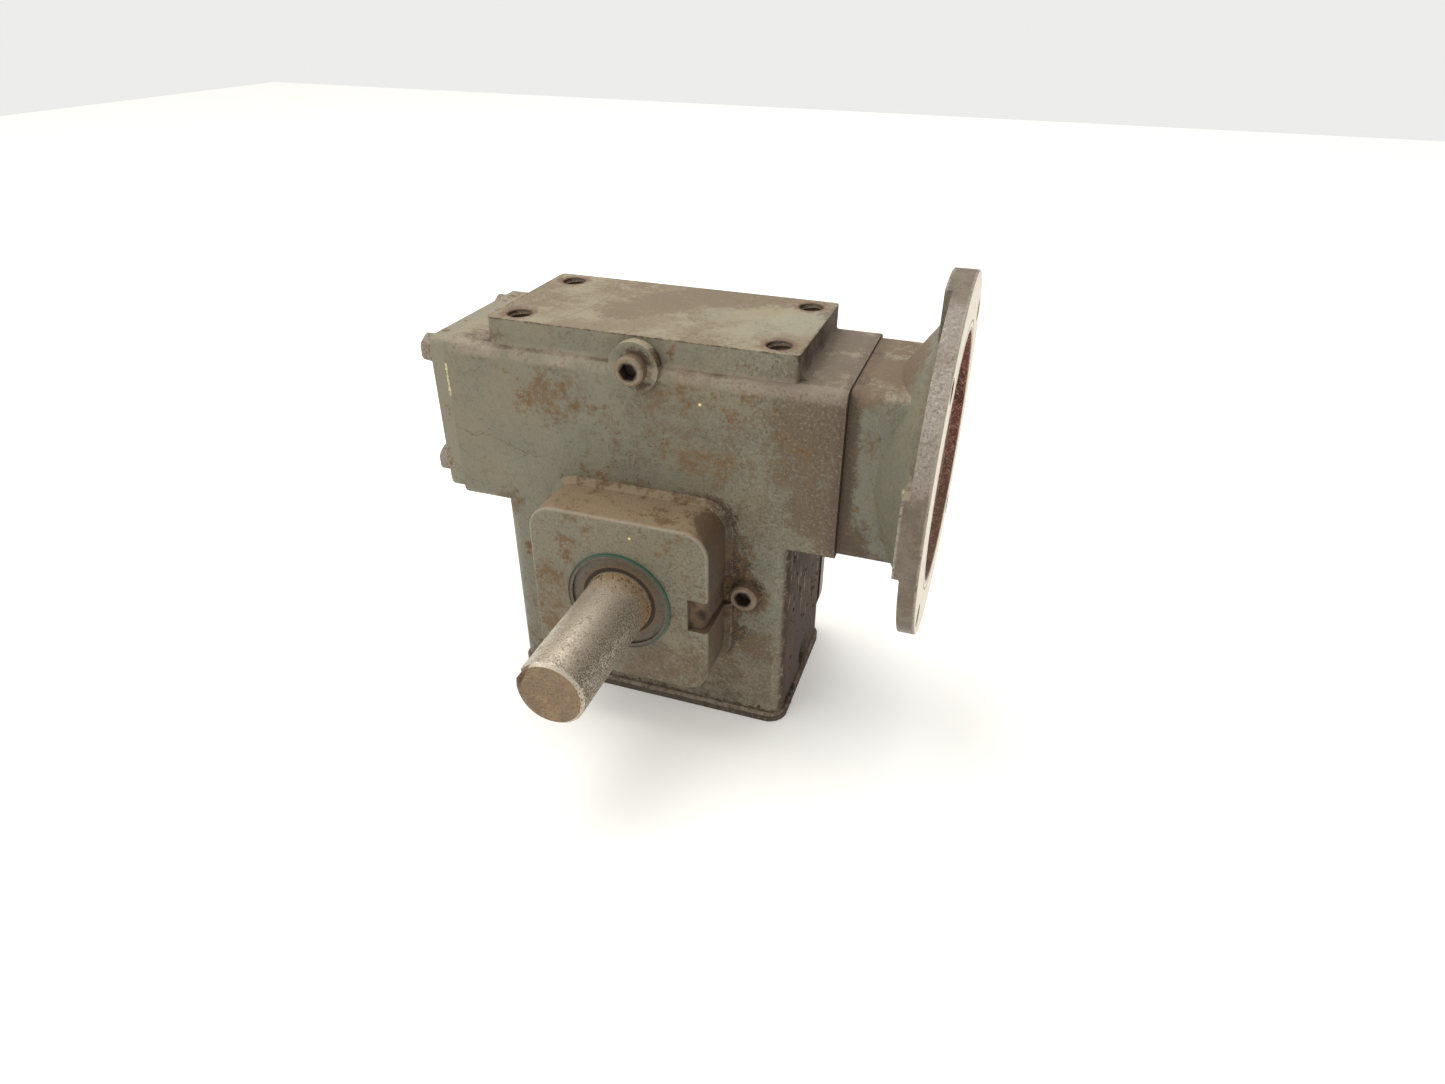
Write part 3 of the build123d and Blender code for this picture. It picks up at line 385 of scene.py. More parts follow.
def ragged_layer(look, mask, colour, strength=0.9, roughness=0.75):
    """A ragged layer of a colour where mask is near 1: films of dirt and paint, and in places painted
    shade.
    """
    ragged = mask + (look.mid - 0.5) * 1.3 + (look.small - 0.5) * 1.7 + (look.grain - 0.5) * 1.2
    look.layer(mask.rise(0.0, 0.3) * ragged.rise(0.05, 0.9) * strength, colour, roughness)


def rust_specks(look, mask):
    """Rust that breaks through in specks, thicker where mask is near 1."""
    through = mask * 0.3 + (look.mid - 0.5) * 1.4 + (look.small - 0.5) * 0.9 + (look.grain - 0.5) * 0.5
    look.layer(mask.rise(0.0, 0.15) * through.rise(0.1, 0.42) * RUST_STRENGTH, OCHRE, 0.8)
    look.layer(mask.rise(0.0, 0.3) * through.rise(0.28, 0.46) * RUST_STRENGTH * 0.8, RUST, 0.9)


def dark_pits(look, strength=0.6):
    """Small dark pits where the enamel has broken."""
    pits = look.noise(1.3, 3, 0.6, shift=23.0)
    look.layer((pits + (look.broad - 0.5) * 0.4).rise(0.64, 0.73) * strength, DARK_GRIME_AND_SHADE, 0.8)


def cast_bump(look, amount=1.0):
    """The sand-cast surface under the paint."""
    look.raise_by((look.mid - 0.5) * 0.55 * amount)
    look.raise_by((look.small - 0.5) * 0.45 * amount)
    look.raise_by((look.grain - 0.5) * 0.3 * amount)


def casting_look():
    """The main casting: enamel with its own films, stains, rust and worn edges, place by place, and
    painted shade and highlights in places.
    """
    look = Look("casting_paint_worn", PAINT, 0.5)
    cast_fields(look)
    paint_base(look)
    x, y, z = look.x, look.y, look.z
    boss = look.round_box(x, z - SHAFT_Z, BOSS_HALF, BOSS_HALF, BOSS_CORNER)
    pad = look.round_box(x, y, PAD_X, PAD_Y, 2.5)
    on_pad = z.rise(PAD_TOP - 0.8, PAD_TOP - 0.3)
    on_boss = y.rise(BOSS_FACE + 1.2, BOSS_FACE + 0.4)
    below = z.rise(TUNNEL_BOTTOM + 2, TUNNEL_BOTTOM - 2)
    on_front = look.front * y.rise(FRONT_Y - 4, FRONT_Y - 1)

    # brown films, region by region
    front_film = look.spots([
        ((82, FRONT_Y, 168), 30, 1.1),
        ((78, FRONT_Y, 150), 24, 0.85),
        ((88, FRONT_Y, 130), 26, 0.95),
        ((92, FRONT_Y, 116), 14, 0.8),
        ((92, FRONT_Y, 180), 12, 0.8),
        ((52, FRONT_Y, 160), 30, 0.4),
        ((66, FRONT_Y, 178), 22, 0.5),
        ((20, FRONT_Y, 170), 28, 0.45),
        ((-4, FRONT_Y, 152), 30, 0.35),
        ((34, FRONT_Y, 148), 26, 0.45),
        ((62, FRONT_Y, 120), 24, 0.4),
        ((-40, FRONT_Y, 168), 26, 0.35),
        ((-70, FRONT_Y, 107), 10, 0.8),
        ((62, FRONT_Y, 47), 15, 0.9),
        ((36, FRONT_Y, 40), 12, 0.7),
        ((6, FRONT_Y, 174), 12, 0.7),
        ((-78, -30, TUNNEL_TOP), 18, 0.6),
        ((40, FRONT_Y, 30), 26, 0.35),
    ])
    ragged_layer(look, front_film, FILM)
    # darker towards the bottom of the front below the tunnel
    ragged_layer(look, below * look.front * z.rise(96, 20) * 0.45, FILM, 0.7)
    boss_top = look.nz.rise(0.5, 0.8) * z.rise(150, 130) * y.rise(FRONT_Y + 1.2, FRONT_Y - 0.4)
    ragged_layer(look, boss_top * 1.2, tint(134, 114, 87), 0.95)

    # pad: tan, with purple-brown stains and a greener end
    look.layer(on_pad * look.top * 0.75, tint(139, 127, 101), 0.6)
    stain = look.spots([
        ((-4, 12, PAD_TOP), 28, 0.95),
        ((-18, -8, PAD_TOP), 20, 0.9),
        ((14, 29, PAD_TOP), 30, 0.95),
        ((42, 34, PAD_TOP), 20, 0.8),
        ((-34, 27, PAD_TOP), 22, 0.5),
        ((22, -4, PAD_TOP), 18, 0.5),
        ((-70, 20, PAD_TOP), 14, 0.5),
        ((-66, -22, PAD_TOP), 12, 0.5),
        ((-60, -4, PAD_TOP), 24, 0.45),
        ((30, -32, PAD_TOP), 22, 0.35),
        ((70, 28, PAD_TOP), 16, 0.5),
    ])
    ragged_layer(look, on_pad * stain, tint(102, 83, 63), 0.85, 0.6)
    blotches = (look.broad * 0.6 + look.wide * 0.6).rise(0.48, 0.7)
    ragged_layer(look, on_pad * blotches * 0.9, tint(112, 96, 71), 0.75, 0.6)
    green = look.spots([
        ((66, 2, PAD_TOP), 26, 0.8),
        ((48, -8, PAD_TOP), 20, 0.5),
        ((24, 2, PAD_TOP), 16, 0.5),
    ])
    ragged_layer(look, on_pad * green, tint(141, 137, 117), 0.8, 0.55)
    for hole_x in (-HOLE_X, HOLE_X):
        for hole_y in (-HOLE_Y, HOLE_Y):
            hole = look.circle(x - hole_x, y - hole_y, HOLE_R)
            halo = z.rise(PAD_TOP - 0.6, PAD_TOP - 0.3) * hole.rise(6.0, 0.5)
            ragged_layer(look, halo * 0.8, tint(104, 78, 58), 0.8)
            mouth = z.rise(PAD_TOP - 0.05, PAD_TOP - 0.25) * hole.rise(3.0, 1.5) * on_pad.rise(0, 0.1)
            look.layer(mouth * 0.8, tint(62, 42, 33), 0.8)
    arc = abs(look.circle(x + 113, y - 4 + (look.mid - 0.5) * 6, 79)).rise(0.9, 0.3)
    look.layer(on_pad * arc * y.rise(-36, -20) * 0.45, tint(104, 90, 72), 0.7)
    look.layer(on_pad * abs(pad).rise(1.4, 0.2) * look.small.rise(0.4, 0.6) * 0.8, DARK_GRIME_AND_SHADE, 0.7)

    # grime gathers where faces meet; painted shade darkens the boss's right side, the front beside it and
    # downward faces
    # grime round the boss's root, with painted shade that is stronger on its right side
    boss_root_grime_and_shade = on_front * boss.rise(9, 0.5) * z.rise(30, 45)
    ragged_layer(look, boss_root_grime_and_shade * (x.rise(10, 40) * 0.8 + 0.35), DARK_GRIME_AND_SHADE, 0.95)
    # painted shade on the boss's right side
    boss_side_shade = y.rise(BOSS_FACE + 0.8, BOSS_FACE + 3) * y.rise(FRONT_Y + 1, FRONT_Y - 2)
    boss_side_shade = boss_side_shade * below.most(z.rise(126, 124))
    look.layer(boss_side_shade * look.nx.rise(0.3, 0.8) * (0.95 - look.small * 0.4), DARK_GRIME_AND_SHADE, 0.8)
    # grime and painted shadow on the front just right of the boss
    boss_shadow_and_grime = look.spots([
        ((49, FRONT_Y, 104), 12, 0.6),
        ((50, FRONT_Y, 92), 12, 1.0),
        ((49, FRONT_Y, 70), 11, 1.0),
        ((49, FRONT_Y, 54), 10, 0.8),
        ((44, FRONT_Y, 118), 9, 0.35),
    ])
    ragged_layer(look, boss_shadow_and_grime, DARK_GRIME_AND_SHADE, 0.95)
    notch = x.rise(33.5, 34.5) * abs(z - SHAFT_Z).rise(10.5, 9.0) * y.rise(FRONT_Y - 0.2, FRONT_Y - 1.5)
    notch = notch * (1.0 - look.front * on_boss) * (1.1 - look.small * 0.4).held()
    look.layer(notch, tint(92, 72, 55), 0.85)
    beside_pad = z.rise(TUNNEL_TOP + 4.5, TUNNEL_TOP) * look.top * pad.rise(7, 0)
    ragged_layer(look, beside_pad, DARK_GRIME_AND_SHADE, 0.8)
    ragged_layer(look, look.nx.rise(0.5, 0.9) * z.rise(TUNNEL_TOP, TUNNEL_TOP + 1), DARK_GRIME_AND_SHADE, 1.0)
    level = look.circle(x - LEVEL_X, z - LEVEL_Z, PLUG_SEAT_R)
    ragged_layer(look, on_front * level.rise(8.0, 0.5), DARK_GRIME_AND_SHADE, 0.9)
    rusty_rings = on_front * level.rise(10, 4) * 0.5
    fill = look.circle(x - FILL_X, z - FILL_Z, PLUG_SEAT_R)
    at_fill = y.rise(FRONT_Y - 0.6, FRONT_Y - 1.6) * z.rise(170, 174)
    ragged_layer(look, at_fill * fill.rise(5.0, 0.4) * x.rise(-8, 6) * 1.2, DARK_GRIME_AND_SHADE, 0.9)
    ragged_layer(look, z.rise(7.5, 4.5) * look.front * 1.3, tint(60, 50, 39), 0.95)
    # darker towards the bottom right of the front
    ragged_layer(look, below * look.front * z.rise(34, 8) * x.rise(70, 40) * 0.5, tint(80, 70, 56), 0.8)
    # painted shade on downward faces
    ragged_layer(look, (-look.nz).rise(0.4, 0.8) * 0.9, DARK_GRIME_AND_SHADE, 0.9)
    seam = x.rise(SEAM_X - 7, SEAM_X - 1) * z.rise(100, 106)
    ragged_layer(look, seam * 0.75, PURPLE, 0.9)

    # the end under the motor side is almost black, with pale streaks
    low_end = look.right * x.rise(CASE_X - 6, CASE_X - 1) * below
    look.layer(low_end * 0.97, tint(70, 51, 38), 0.9)
    streaks = look.noise(3.4, 4, 0.7, stretch=(1, 1, 0.16), shift=31.0)
    look.layer(low_end * streaks.rise(0.53, 0.66) * z.rise(30, 60) * 0.85, tint(146, 124, 102), 0.7)
    look.layer(low_end * look.mid.rise(0.5, 0.62) * 0.7, tint(48, 36, 29), 0.8)
    drain = look.circle(y - DRAIN_Y, z - DRAIN_Z, DRAIN_SEAT_R)
    look.layer(look.right * below * drain.rise(6, 0) * 0.8, tint(42, 32, 26), 0.7)
    look.layer(below * look.ny.rise(0.3, 0.8) * 0.4, FILM, 0.8)

    # rust specks
    rust = look.spots([
        ((-47, FRONT_Y, 165), 17, 0.8, (0.7, 1, 1)),
        ((-30, FRONT_Y, 164), 14, 0.6),
        ((-18, FRONT_Y, 160), 12, 0.4),
        ((-66, FRONT_Y, 178), 7, 0.8),
        ((51, FRONT_Y, 176), 24, 0.55, (0.7, 1, 1.2)),
        ((26, FRONT_Y, 174), 17, 0.5),
        ((12, FRONT_Y, 153), 15, 0.4),
        ((36, FRONT_Y, 145), 22, 0.65, (0.6, 1, 1.7)),
        ((72, FRONT_Y, 152), 20, 0.5),
        ((15, FRONT_Y, 192), 9, 1.0),
        ((9, FRONT_Y, 170), 10, 0.6, (1.5, 1, 0.8)),
        ((49, FRONT_Y, 102), 14, 0.75),
        ((50, FRONT_Y, 52), 22, 0.45),
        ((-69, FRONT_Y, 108), 8, 0.9),
        ((-63, FRONT_Y, 78), 7, 0.9),
        ((-27, BOSS_FACE, 104), 11, 0.9),
        ((-36, BOSS_FACE, 82), 13, 0.9),
        ((-38, BOSS_FACE, 62), 14, 0.85),
        ((12, BOSS_FACE, 48), 18, 0.5),
        ((36, BOSS_FACE, 48), 14, 0.6),
        ((28, BOSS_FACE, 100), 22, 0.3),
        ((-20, -55, 123), 30, 0.5),
        ((20, -55, 123), 30, 0.6),
    ])
    rust_specks(look, rust.most(rusty_rings))
    haze = look.spots([
        ((-36, BOSS_FACE, 74), 24, 0.7, (1.3, 1, 0.75)),
        ((-46, FRONT_Y, 166), 16, 0.45),
        ((36, FRONT_Y, 145), 22, 0.5, (0.6, 1, 1.8)),
    ])
    ragged_layer(look, haze, tint(108, 88, 62), 0.6)
    low_boss = look.spots([
        ((14, BOSS_FACE, 46), 26, 0.8),
        ((38, BOSS_FACE, 52), 18, 0.7),
        ((30, BOSS_FACE, 84), 30, 0.4),
    ])
    ragged_layer(look, low_boss, FILM, 0.8)
    top_right = look.spots([
        ((82, 20, TUNNEL_TOP), 24, 1.0),
        ((86, -12, TUNNEL_TOP), 24, 0.9),
        ((80, -36, TUNNEL_TOP), 20, 0.8),
        ((-84, 6, TUNNEL_TOP), 18, 0.5),
    ])
    ragged_layer(look, top_right, tint(105, 92, 77), 0.9)
    dark_pits(look)

    # bright worn edges, with painted highlights on the tunnel's rounded top front edge, the boss's rim and
    # the lip's ledge
    shoulder = z.between(183.0, 186.8, 3.2) * y.rise(FRONT_Y + 5.5, FRONT_Y + 3.0)
    shoulder = shoulder * (-look.ny).rise(0.0, 0.15)
    # a painted highlight, in patches like wear, along the tunnel's rounded top front edge up to near its
    # right end
    worn_and_highlight_patch = (look.mid * 0.7 + look.broad * 0.6 + look.small * 0.2).rise(0.6, 0.9)
    look.layer(shoulder * x.rise(68, 48) * worn_and_highlight_patch * 0.85, tint(150, 136, 117), 0.42)
    look.layer(shoulder * (look.mid * 0.6 + look.small * 0.5).rise(0.58, 0.68) * 0.6, FILM, 0.7)
    # a fainter painted highlight over the right part of that edge
    look.layer(shoulder * x.between(50, 90, 10) * (look.mid + 0.35).held() * 0.8, tint(134, 120, 105), 0.6)
    # wear on the boss's rim, with a painted highlight that grows towards its top
    rim = on_boss.most(y.rise(BOSS_FACE + 2.2, BOSS_FACE + 1.0)) * abs(boss + 0.3).rise(1.3, 0.3)
    look.layer(rim * (look.small + (z - SHAFT_Z) * 0.004).rise(0.44, 0.66) * 0.55, WEAR_AND_HIGHLIGHT, 0.45)
    look.layer(on_boss * boss.rise(-0.5, 0.5) * look.small.rise(0.58, 0.66) * 0.5, FILM, 0.6)
    # a painted highlight along the top of the lip's ledge, broken up like wear
    ledge = z.between(LIP_TOP - 1.4, LIP_TOP + 0.4, 0.3) * y.rise(FRONT_Y + 0.5, FRONT_Y - 0.6)
    look.layer(ledge * look.small.rise(0.4, 0.55) * 0.55, WEAR_AND_HIGHLIGHT, 0.5)
    corner = look.round_box(x, y, CASE_X, -FRONT_Y, 8.0)
    worn_corner = below * abs(corner).rise(1.0, 0.2) * look.nx.between(0.3, 0.9, 0.1)
    worn_corner = worn_corner * (-look.ny).rise(0.3, 0.5)
    look.layer(worn_corner * look.small.rise(0.5, 0.62) * 0.45, WEAR_AND_HIGHLIGHT, 0.5)

    # hair cracks on the left of the tunnel
    crack = abs((z - 142.5) + (x + 95) * 0.2 + (look.mid - 0.5) * 14)
    crack_length = x.between(-93, -50, 3) * look.front * y.rise(FRONT_Y + 1, FRONT_Y)
    look.layer(crack.rise(0.35, 0.1) * crack_length * z.rise(110, 120) * 0.5, DARK_GRIME_AND_SHADE, 0.8)

    # two yellow specks of paint
    front_speck = look.spot_plain((31, FRONT_Y, 173), 0.9)
    boss_speck = look.spot_plain((7, BOSS_FACE, 115.6), 0.8)
    look.layer(front_speck.most(boss_speck), tint(226, 204, 140), 0.5)

    # brown on the boss: low on its face, and down its motor side
    corner_side = look.spots([
        ((BOSS_HALF - 3, -54, SHAFT_Z + BOSS_HALF - 3), 15, 1.1),
        ((BOSS_HALF, -50, SHAFT_Z + 24), 14, 0.9),
        ((BOSS_HALF, -54, SHAFT_Z - 18), 14, 0.9),
    ])
    face_patch = look.spots([((16, BOSS_FACE, 76), 14, 0.9)])
    ragged_layer(look, face_patch * on_boss, tint(88, 72, 54), 0.8)
    ragged_layer(look, corner_side * y.rise(BOSS_FACE + 1.0, BOSS_FACE + 4), tint(88, 68, 50), 0.95)

    # a sandy grain over the front, stronger towards the motor end and on the boss
    sand = look.noise(1.4, 3, 0.6, shift=23.0)
    sandy = look.front * (x.rise(20, 60) + on_boss * 0.6 + 0.15).held()
    look.layer(sandy * sand.rise(0.55, 0.64) * 0.38, tint(150, 138, 116), 0.6)
    look.layer(sandy * sand.rise(0.45, 0.36) * 0.5, tint(76, 62, 48), 0.8)
    look.shade(0.84 + look.grain * 0.16 + look.small * 0.16)
    smooth = (on_pad * 0.7).most(on_boss * 0.5)
    cast_bump(look, 1.0 - smooth)
    look.raise_by(look.small.rise(0.6, 0.72) * rust * 0.12)
    return look.done(specular=0.45)


def plain_casting_look(name):
    """Paint for the covers: the same enamel and dirt without the main casting's own marks, and painted
    shade on downward faces.
    """
    look = Look(name, PAINT, 0.5)
    cast_fields(look)
    paint_base(look)
    look.layer(0.6, tint(127, 121, 103), 0.5)
    look.shade(0.86 + look.mid * 0.14 + look.grain * 0.14)
    ragged_layer(look, look.broad.rise(0.5, 0.7) * 0.35, FILM, 0.6)
    # painted shade on downward faces
    ragged_layer(look, (-look.nz).rise(0.4, 0.8) * 0.8, DARK_GRIME_AND_SHADE, 0.9)
    rust_specks(look, look.broad.rise(0.48, 0.62) * 0.6)
    dark_pits(look)
    cast_bump(look)
    return look.done(specular=0.45)


def adapter_look():
    """The motor adapter: enamel outside, a bare rim, an oxide bell and a primed ring, with painted shade
    under the neck.
    """
    look = Look("adapter_paint_worn", PAINT, 0.5)
    cast_fields(look)
    paint_base(look)
    x, y = look.x, look.y
    rise = look.z - WORM_Z
    radial = look.circle(y, rise, 0.0)
    facing = (y * look.ny + rise * look.nz) / radial.most(1.0)
    neck = x.rise(FLANGE_FACE - 13, FLANGE_FACE - 16)
    ragged_layer(look, x.rise(SEAM_X + 9, SEAM_X + 2) * neck * 1.1, tint(76, 62, 48), 0.95)
    low_by_seam = neck * look.front * rise.rise(-8, -34) * x.rise(SEAM_X + 18, SEAM_X + 10)
    ragged_layer(look, low_by_seam, tint(80, 64, 50), 0.9)
    # painted shade under the neck
    ragged_layer(look, neck * rise.rise(-30, -40) * 0.7, tint(92, 77, 62), 0.85)
    ragged_layer(look, look.spots([
        ((113, -8, ADAPTER_TOP), 28, 1.1),
        ((106, 24, ADAPTER_TOP), 20, 0.8),
        ((104, -32, 185), 12, 0.8),
        ((116, -32, 185), 8, 0.6),
    ]), tint(108, 88, 67), 0.9)
    ragged_layer(look, look.spots([
        ((89, ADAPTER_FRONT, 132), 13, 1.0),
        ((88, ADAPTER_FRONT, 116), 14, 1.1),
        ((106, ADAPTER_FRONT, 109), 8, 0.6),
    ]), tint(84, 68, 53), 0.85)
    rust_specks(look, look.spots([
        ((119, ADAPTER_FRONT, 169), 5, 1.0),
        ((115, ADAPTER_FRONT, 142), 7, 0.8, (1.6, 1, 0.6)),
        ((104, ADAPTER_FRONT, 160), 14, 0.4),
        ((108, ADAPTER_FRONT, 125), 14, 0.4),
    ]))
    ragged_layer(look, x.rise(FLANGE_FACE - 14, FLANGE_FACE - 10) * radial.rise(80, 70) * 0.5, FILM, 0.7)

    # the flange's rim is bare in patches
    rim = radial.rise(FLANGE_R - 0.9, FLANGE_R - 0.3) * x.rise(FLANGE_FACE + 0.3, FLANGE_FACE - 0.4)
    look.layer(rim * 0.9, tint(108, 95, 79), 0.55)
    look.layer(rim * look.mid.rise(0.42, 0.6) * 0.6, tint(92, 79, 64), 0.7)
    bare = look.spots([
        ((FLANGE_FACE - 5, -64, 198), 26, 1.1),
        ((FLANGE_FACE - 5, -77, 178), 18, 0.8),
        ((FLANGE_FACE - 5, -52, 84), 18, 0.5),
        ((FLANGE_FACE - 5, -40, 218), 18, 0.9),
    ])
    look.layer(rim * bare * 0.9, tint(146, 135, 124), 0.5)
    wavy = look.noise(1.6, 4, 0.65, shift=43.0)
    look.layer(rim * bare * wavy.rise(0.5, 0.66) * 0.5, tint(180, 170, 158), 0.4)
    look.layer(rim * bare * wavy.rise(0.46, 0.34) * 0.5, tint(112, 96, 90), 0.6)
    back_edge = rim * x.rise(FLANGE_FACE - 9.3, FLANGE_FACE - 10.4) * look.small.rise(0.4, 0.5)
    look.layer(back_edge, tint(142, 132, 116), 0.45)
    rim_pits = look.noise(1.0, 4, 0.7, shift=41.0)
    look.layer(rim * rim_pits.rise(0.5, 0.68) * 0.6, tint(78, 65, 52), 0.8)
    front_edge = rim * x.rise(FLANGE_FACE - 1.4, FLANGE_FACE - 0.5) * look.small.rise(0.38, 0.5)
    look.layer(front_edge * 0.8, WEAR_AND_HIGHLIGHT, 0.4)

    # a pale chip shows where the rim meets its back
    chip = look.spots([
        ((127, -62, 153), 4.5, 1.0, (1, 0.5, 1.6)),
        ((129, -63, 146), 3, 0.8, (1, 0.5, 1)),
    ])
    chip = chip * x.rise(FLANGE_FACE - 9.2, FLANGE_FACE - 10.0) * look.small.rise(0.42, 0.5)
    look.layer(chip, tint(206, 190, 152), 0.6)

    # inside of the bell: glossy red-brown oxide over oil
    inside = (-facing).rise(0.15, 0.35).most(look.right) * x.rise(FLANGE_FACE + 0.1, FLANGE_FACE - 0.4)
    inside = inside * radial.rise(REGISTER_R + 1.4, REGISTER_R + 0.6) * x.rise(SEAM_X + 8, SEAM_X + 12)
    look.layer(inside, tint(118, 60, 44), 0.25)
    look.layer(inside * rise.rise(10, -45) * 0.75, tint(112, 88, 66), 0.4)
    look.layer(inside * look.mid.rise(0.46, 0.6) * 0.7, tint(78, 36, 28), 0.2)
    look.layer(inside * look.small.rise(0.5, 0.62) * 0.7, tint(166, 122, 96), 0.4)
    look.layer(inside * look.grain.rise(0.56, 0.66) * 0.5, tint(196, 172, 156), 0.3)
    look.layer(inside * look.nz.rise(0.2, 0.9) * look.mid.rise(0.4, 0.6) * 0.5, tint(140, 112, 90), 0.6)

    # machined front ring, still in primer
    ring = look.right * x.rise(FLANGE_FACE - 0.35, FLANGE_FACE - 0.1)
    look.layer(ring, tint(222, 212, 193), 0.45)
    look.layer(ring * abs(radial - REGISTER_R - 4.0).rise(0.8, 0.3) * 0.7, tint(96, 78, 60), 0.7)
    look.layer(ring * look.mid.rise(0.55, 0.66) * 0.5, tint(196, 178, 150), 0.6)
    look.layer(ring * (look.small + (radial - 78) * 0.02).rise(0.6, 0.72) * 0.7, tint(150, 128, 100), 0.7)
    by_register = ring * radial.rise(REGISTER_R + 2.2, REGISTER_R + 0.4)
    look.layer(by_register * look.small.rise(0.4, 0.55), tint(110, 82, 62), 0.6)
    dark_pits(look, 0.5)
    look.shade(0.86 + look.grain * 0.28)
    cast_bump(look, 1.0 - ring * 0.8)
    return look.done(specular=0.5)


# --- looks of the bare and small parts ---------------------------------------------------------------
def shaft_look():
    """Turned steel, pitted and rusty, with painted shade underneath and on its right side, a bright bevel
    and a brown end.
    """
    look = Look("output_shaft_steel", tint(196, 184, 166), 0.4, metallic=0.85)
    x, y = look.x, look.y
    rise = look.z - SHAFT_Z
    turned = look.noise(1.6, 3, 0.6, stretch=(0.12, 3.0, 0.12))
    small = look.noise(1.1, 4, 0.7, shift=3.0)
    mid = look.noise(6.0, 4, 0.6, shift=9.0)
    look.shade(0.82 + turned * 0.3)
    root = y.rise(SEAL_LOW[1] - 22, SEAL_LOW[1] - 1)
    outside = y.rise(SEAL_LOW[1] + 1.5, SEAL_LOW[1])
    specks = (small + (mid - 0.5) * 0.5 + root * 0.1).rise(0.5, 0.62)
    look.layer(specks * outside * 0.65, tint(96, 80, 61), 0.75, 0.15)
    # painted shade on the shaft's underside and right side; the dark specks are denser there too
    under = (rise * 0.75 + x * 0.65).rise(6, -8).most(x.rise(4, 14) * 0.8)
    look.layer(under * outside * 0.25, tint(124, 112, 94), 0.45, 0.7)
    fine = look.noise(0.7, 3, 0.7, shift=17.0)
    dark_specks = (fine + under * 0.06).rise(0.53, 0.59) * (under * 0.7 + 0.3)
    look.layer(dark_specks * outside, tint(58, 46, 35), 0.85, 0.1)
    look.layer((fine + under * 0.05).rise(0.46, 0.38) * outside * 0.7, tint(224, 214, 198), 0.3, 0.9)
    rust_patches = (small + root * 0.16 + (mid - 0.5) * 0.6).rise(0.66, 0.76)
    look.layer(rust_patches * outside * 0.8, tint(134, 98, 62), 0.9, 0.0)
    look.layer(root * root * outside * small.rise(0.36, 0.55) * 0.8, tint(146, 120, 84), 0.9, 0.0)
    end = y.rise(SHAFT_END + 0.25, SHAFT_END + 0.05)
    look.layer(end * 0.95, tint(116, 94, 68), 0.6, 0.15)
    look.layer(end * mid.rise(0.42, 0.6) * 0.7, tint(138, 116, 80), 0.55, 0.2)
    look.layer(end * small.rise(0.5, 0.62) * 0.7, tint(84, 64, 46), 0.8, 0.0)
    radial = look.circle(x, rise, 0.0)
    bevel = y.between(SHAFT_END, SHAFT_END + 1.6, 0.15) * radial.rise(SHAFT_R - 1.9, SHAFT_R - 1.4)
    bevel = bevel * (1.0 - end)
    look.layer(bevel * small.rise(0.4, 0.58) * 0.8, tint(190, 180, 164), 0.3, 0.9)
    keyway = (x * math.cos(KEYWAY_ANGLE) + rise * math.sin(KEYWAY_ANGLE)).rise(12, 13)
    floor = keyway * radial.rise(SHAFT_R - 0.2, SHAFT_R - 0.7)
    look.layer(floor * y.rise(KEYWAY_END + 6, KEYWAY_END) * 0.85, tint(98, 68, 46), 0.9, 0.0)
    look.raise_by((turned - 0.5) * 0.03)
    look.raise_by(specks * -0.05)
    look.raise_by((small - 0.5) * 0.08)
    return look.done(specular=0.5)


def seal_face_look():
    """The seal's steel face: dull brown, rustier by the shaft."""
    look = Look("seal_face_worn", tint(92, 84, 70), 0.45)
    small = look.noise(2.0, 4, 0.65)
    mid = look.noise(8.0, 3, 0.6, shift=5.0)
    radial = look.circle(look.x, look.z - SHAFT_Z, 0.0)
    look.shade(0.8 + mid * 0.4)
    look.layer(mid.rise(0.45, 0.6) * 0.5, tint(78, 73, 58), 0.4)
    look.layer(small.rise(0.52, 0.64) * 0.6, tint(74, 58, 44), 0.8)
    by_shaft = radial.rise(SHAFT_R + 5.5, SHAFT_R + 2.0) * small.rise(0.35, 0.5)
    look.layer(by_shaft * 0.8, tint(120, 88, 56), 0.9)
    look.layer(radial.rise(SEAL_R - 1.3, SEAL_R - 0.7) * 0.7, tint(60, 56, 46), 0.6)
    look.raise_by((small - 0.5) * 0.12)
    return look.done(specular=0.4)


def seal_coat_look():
    """The blue-green coating on the seal's edge, with painted shade over its lower left side."""
    look = Look("seal_coating_teal", tint(44, 86, 72), 0.45)
    small = look.noise(2.2, 4, 0.65)
    look.shade(0.8 + small * 0.4)
    # painted shade on the lower left side of the coating
    side = (look.x * 0.75 + (look.z - SHAFT_Z) * 0.65).rise(4, -10)
    look.layer(side * 0.9, tint(46, 40, 32), 0.7)
    look.layer(small.rise(0.56, 0.66) * 0.7, tint(80, 70, 52), 0.8)
    look.raise_by((small - 0.5) * 0.06)
    return look.done(specular=0.4)


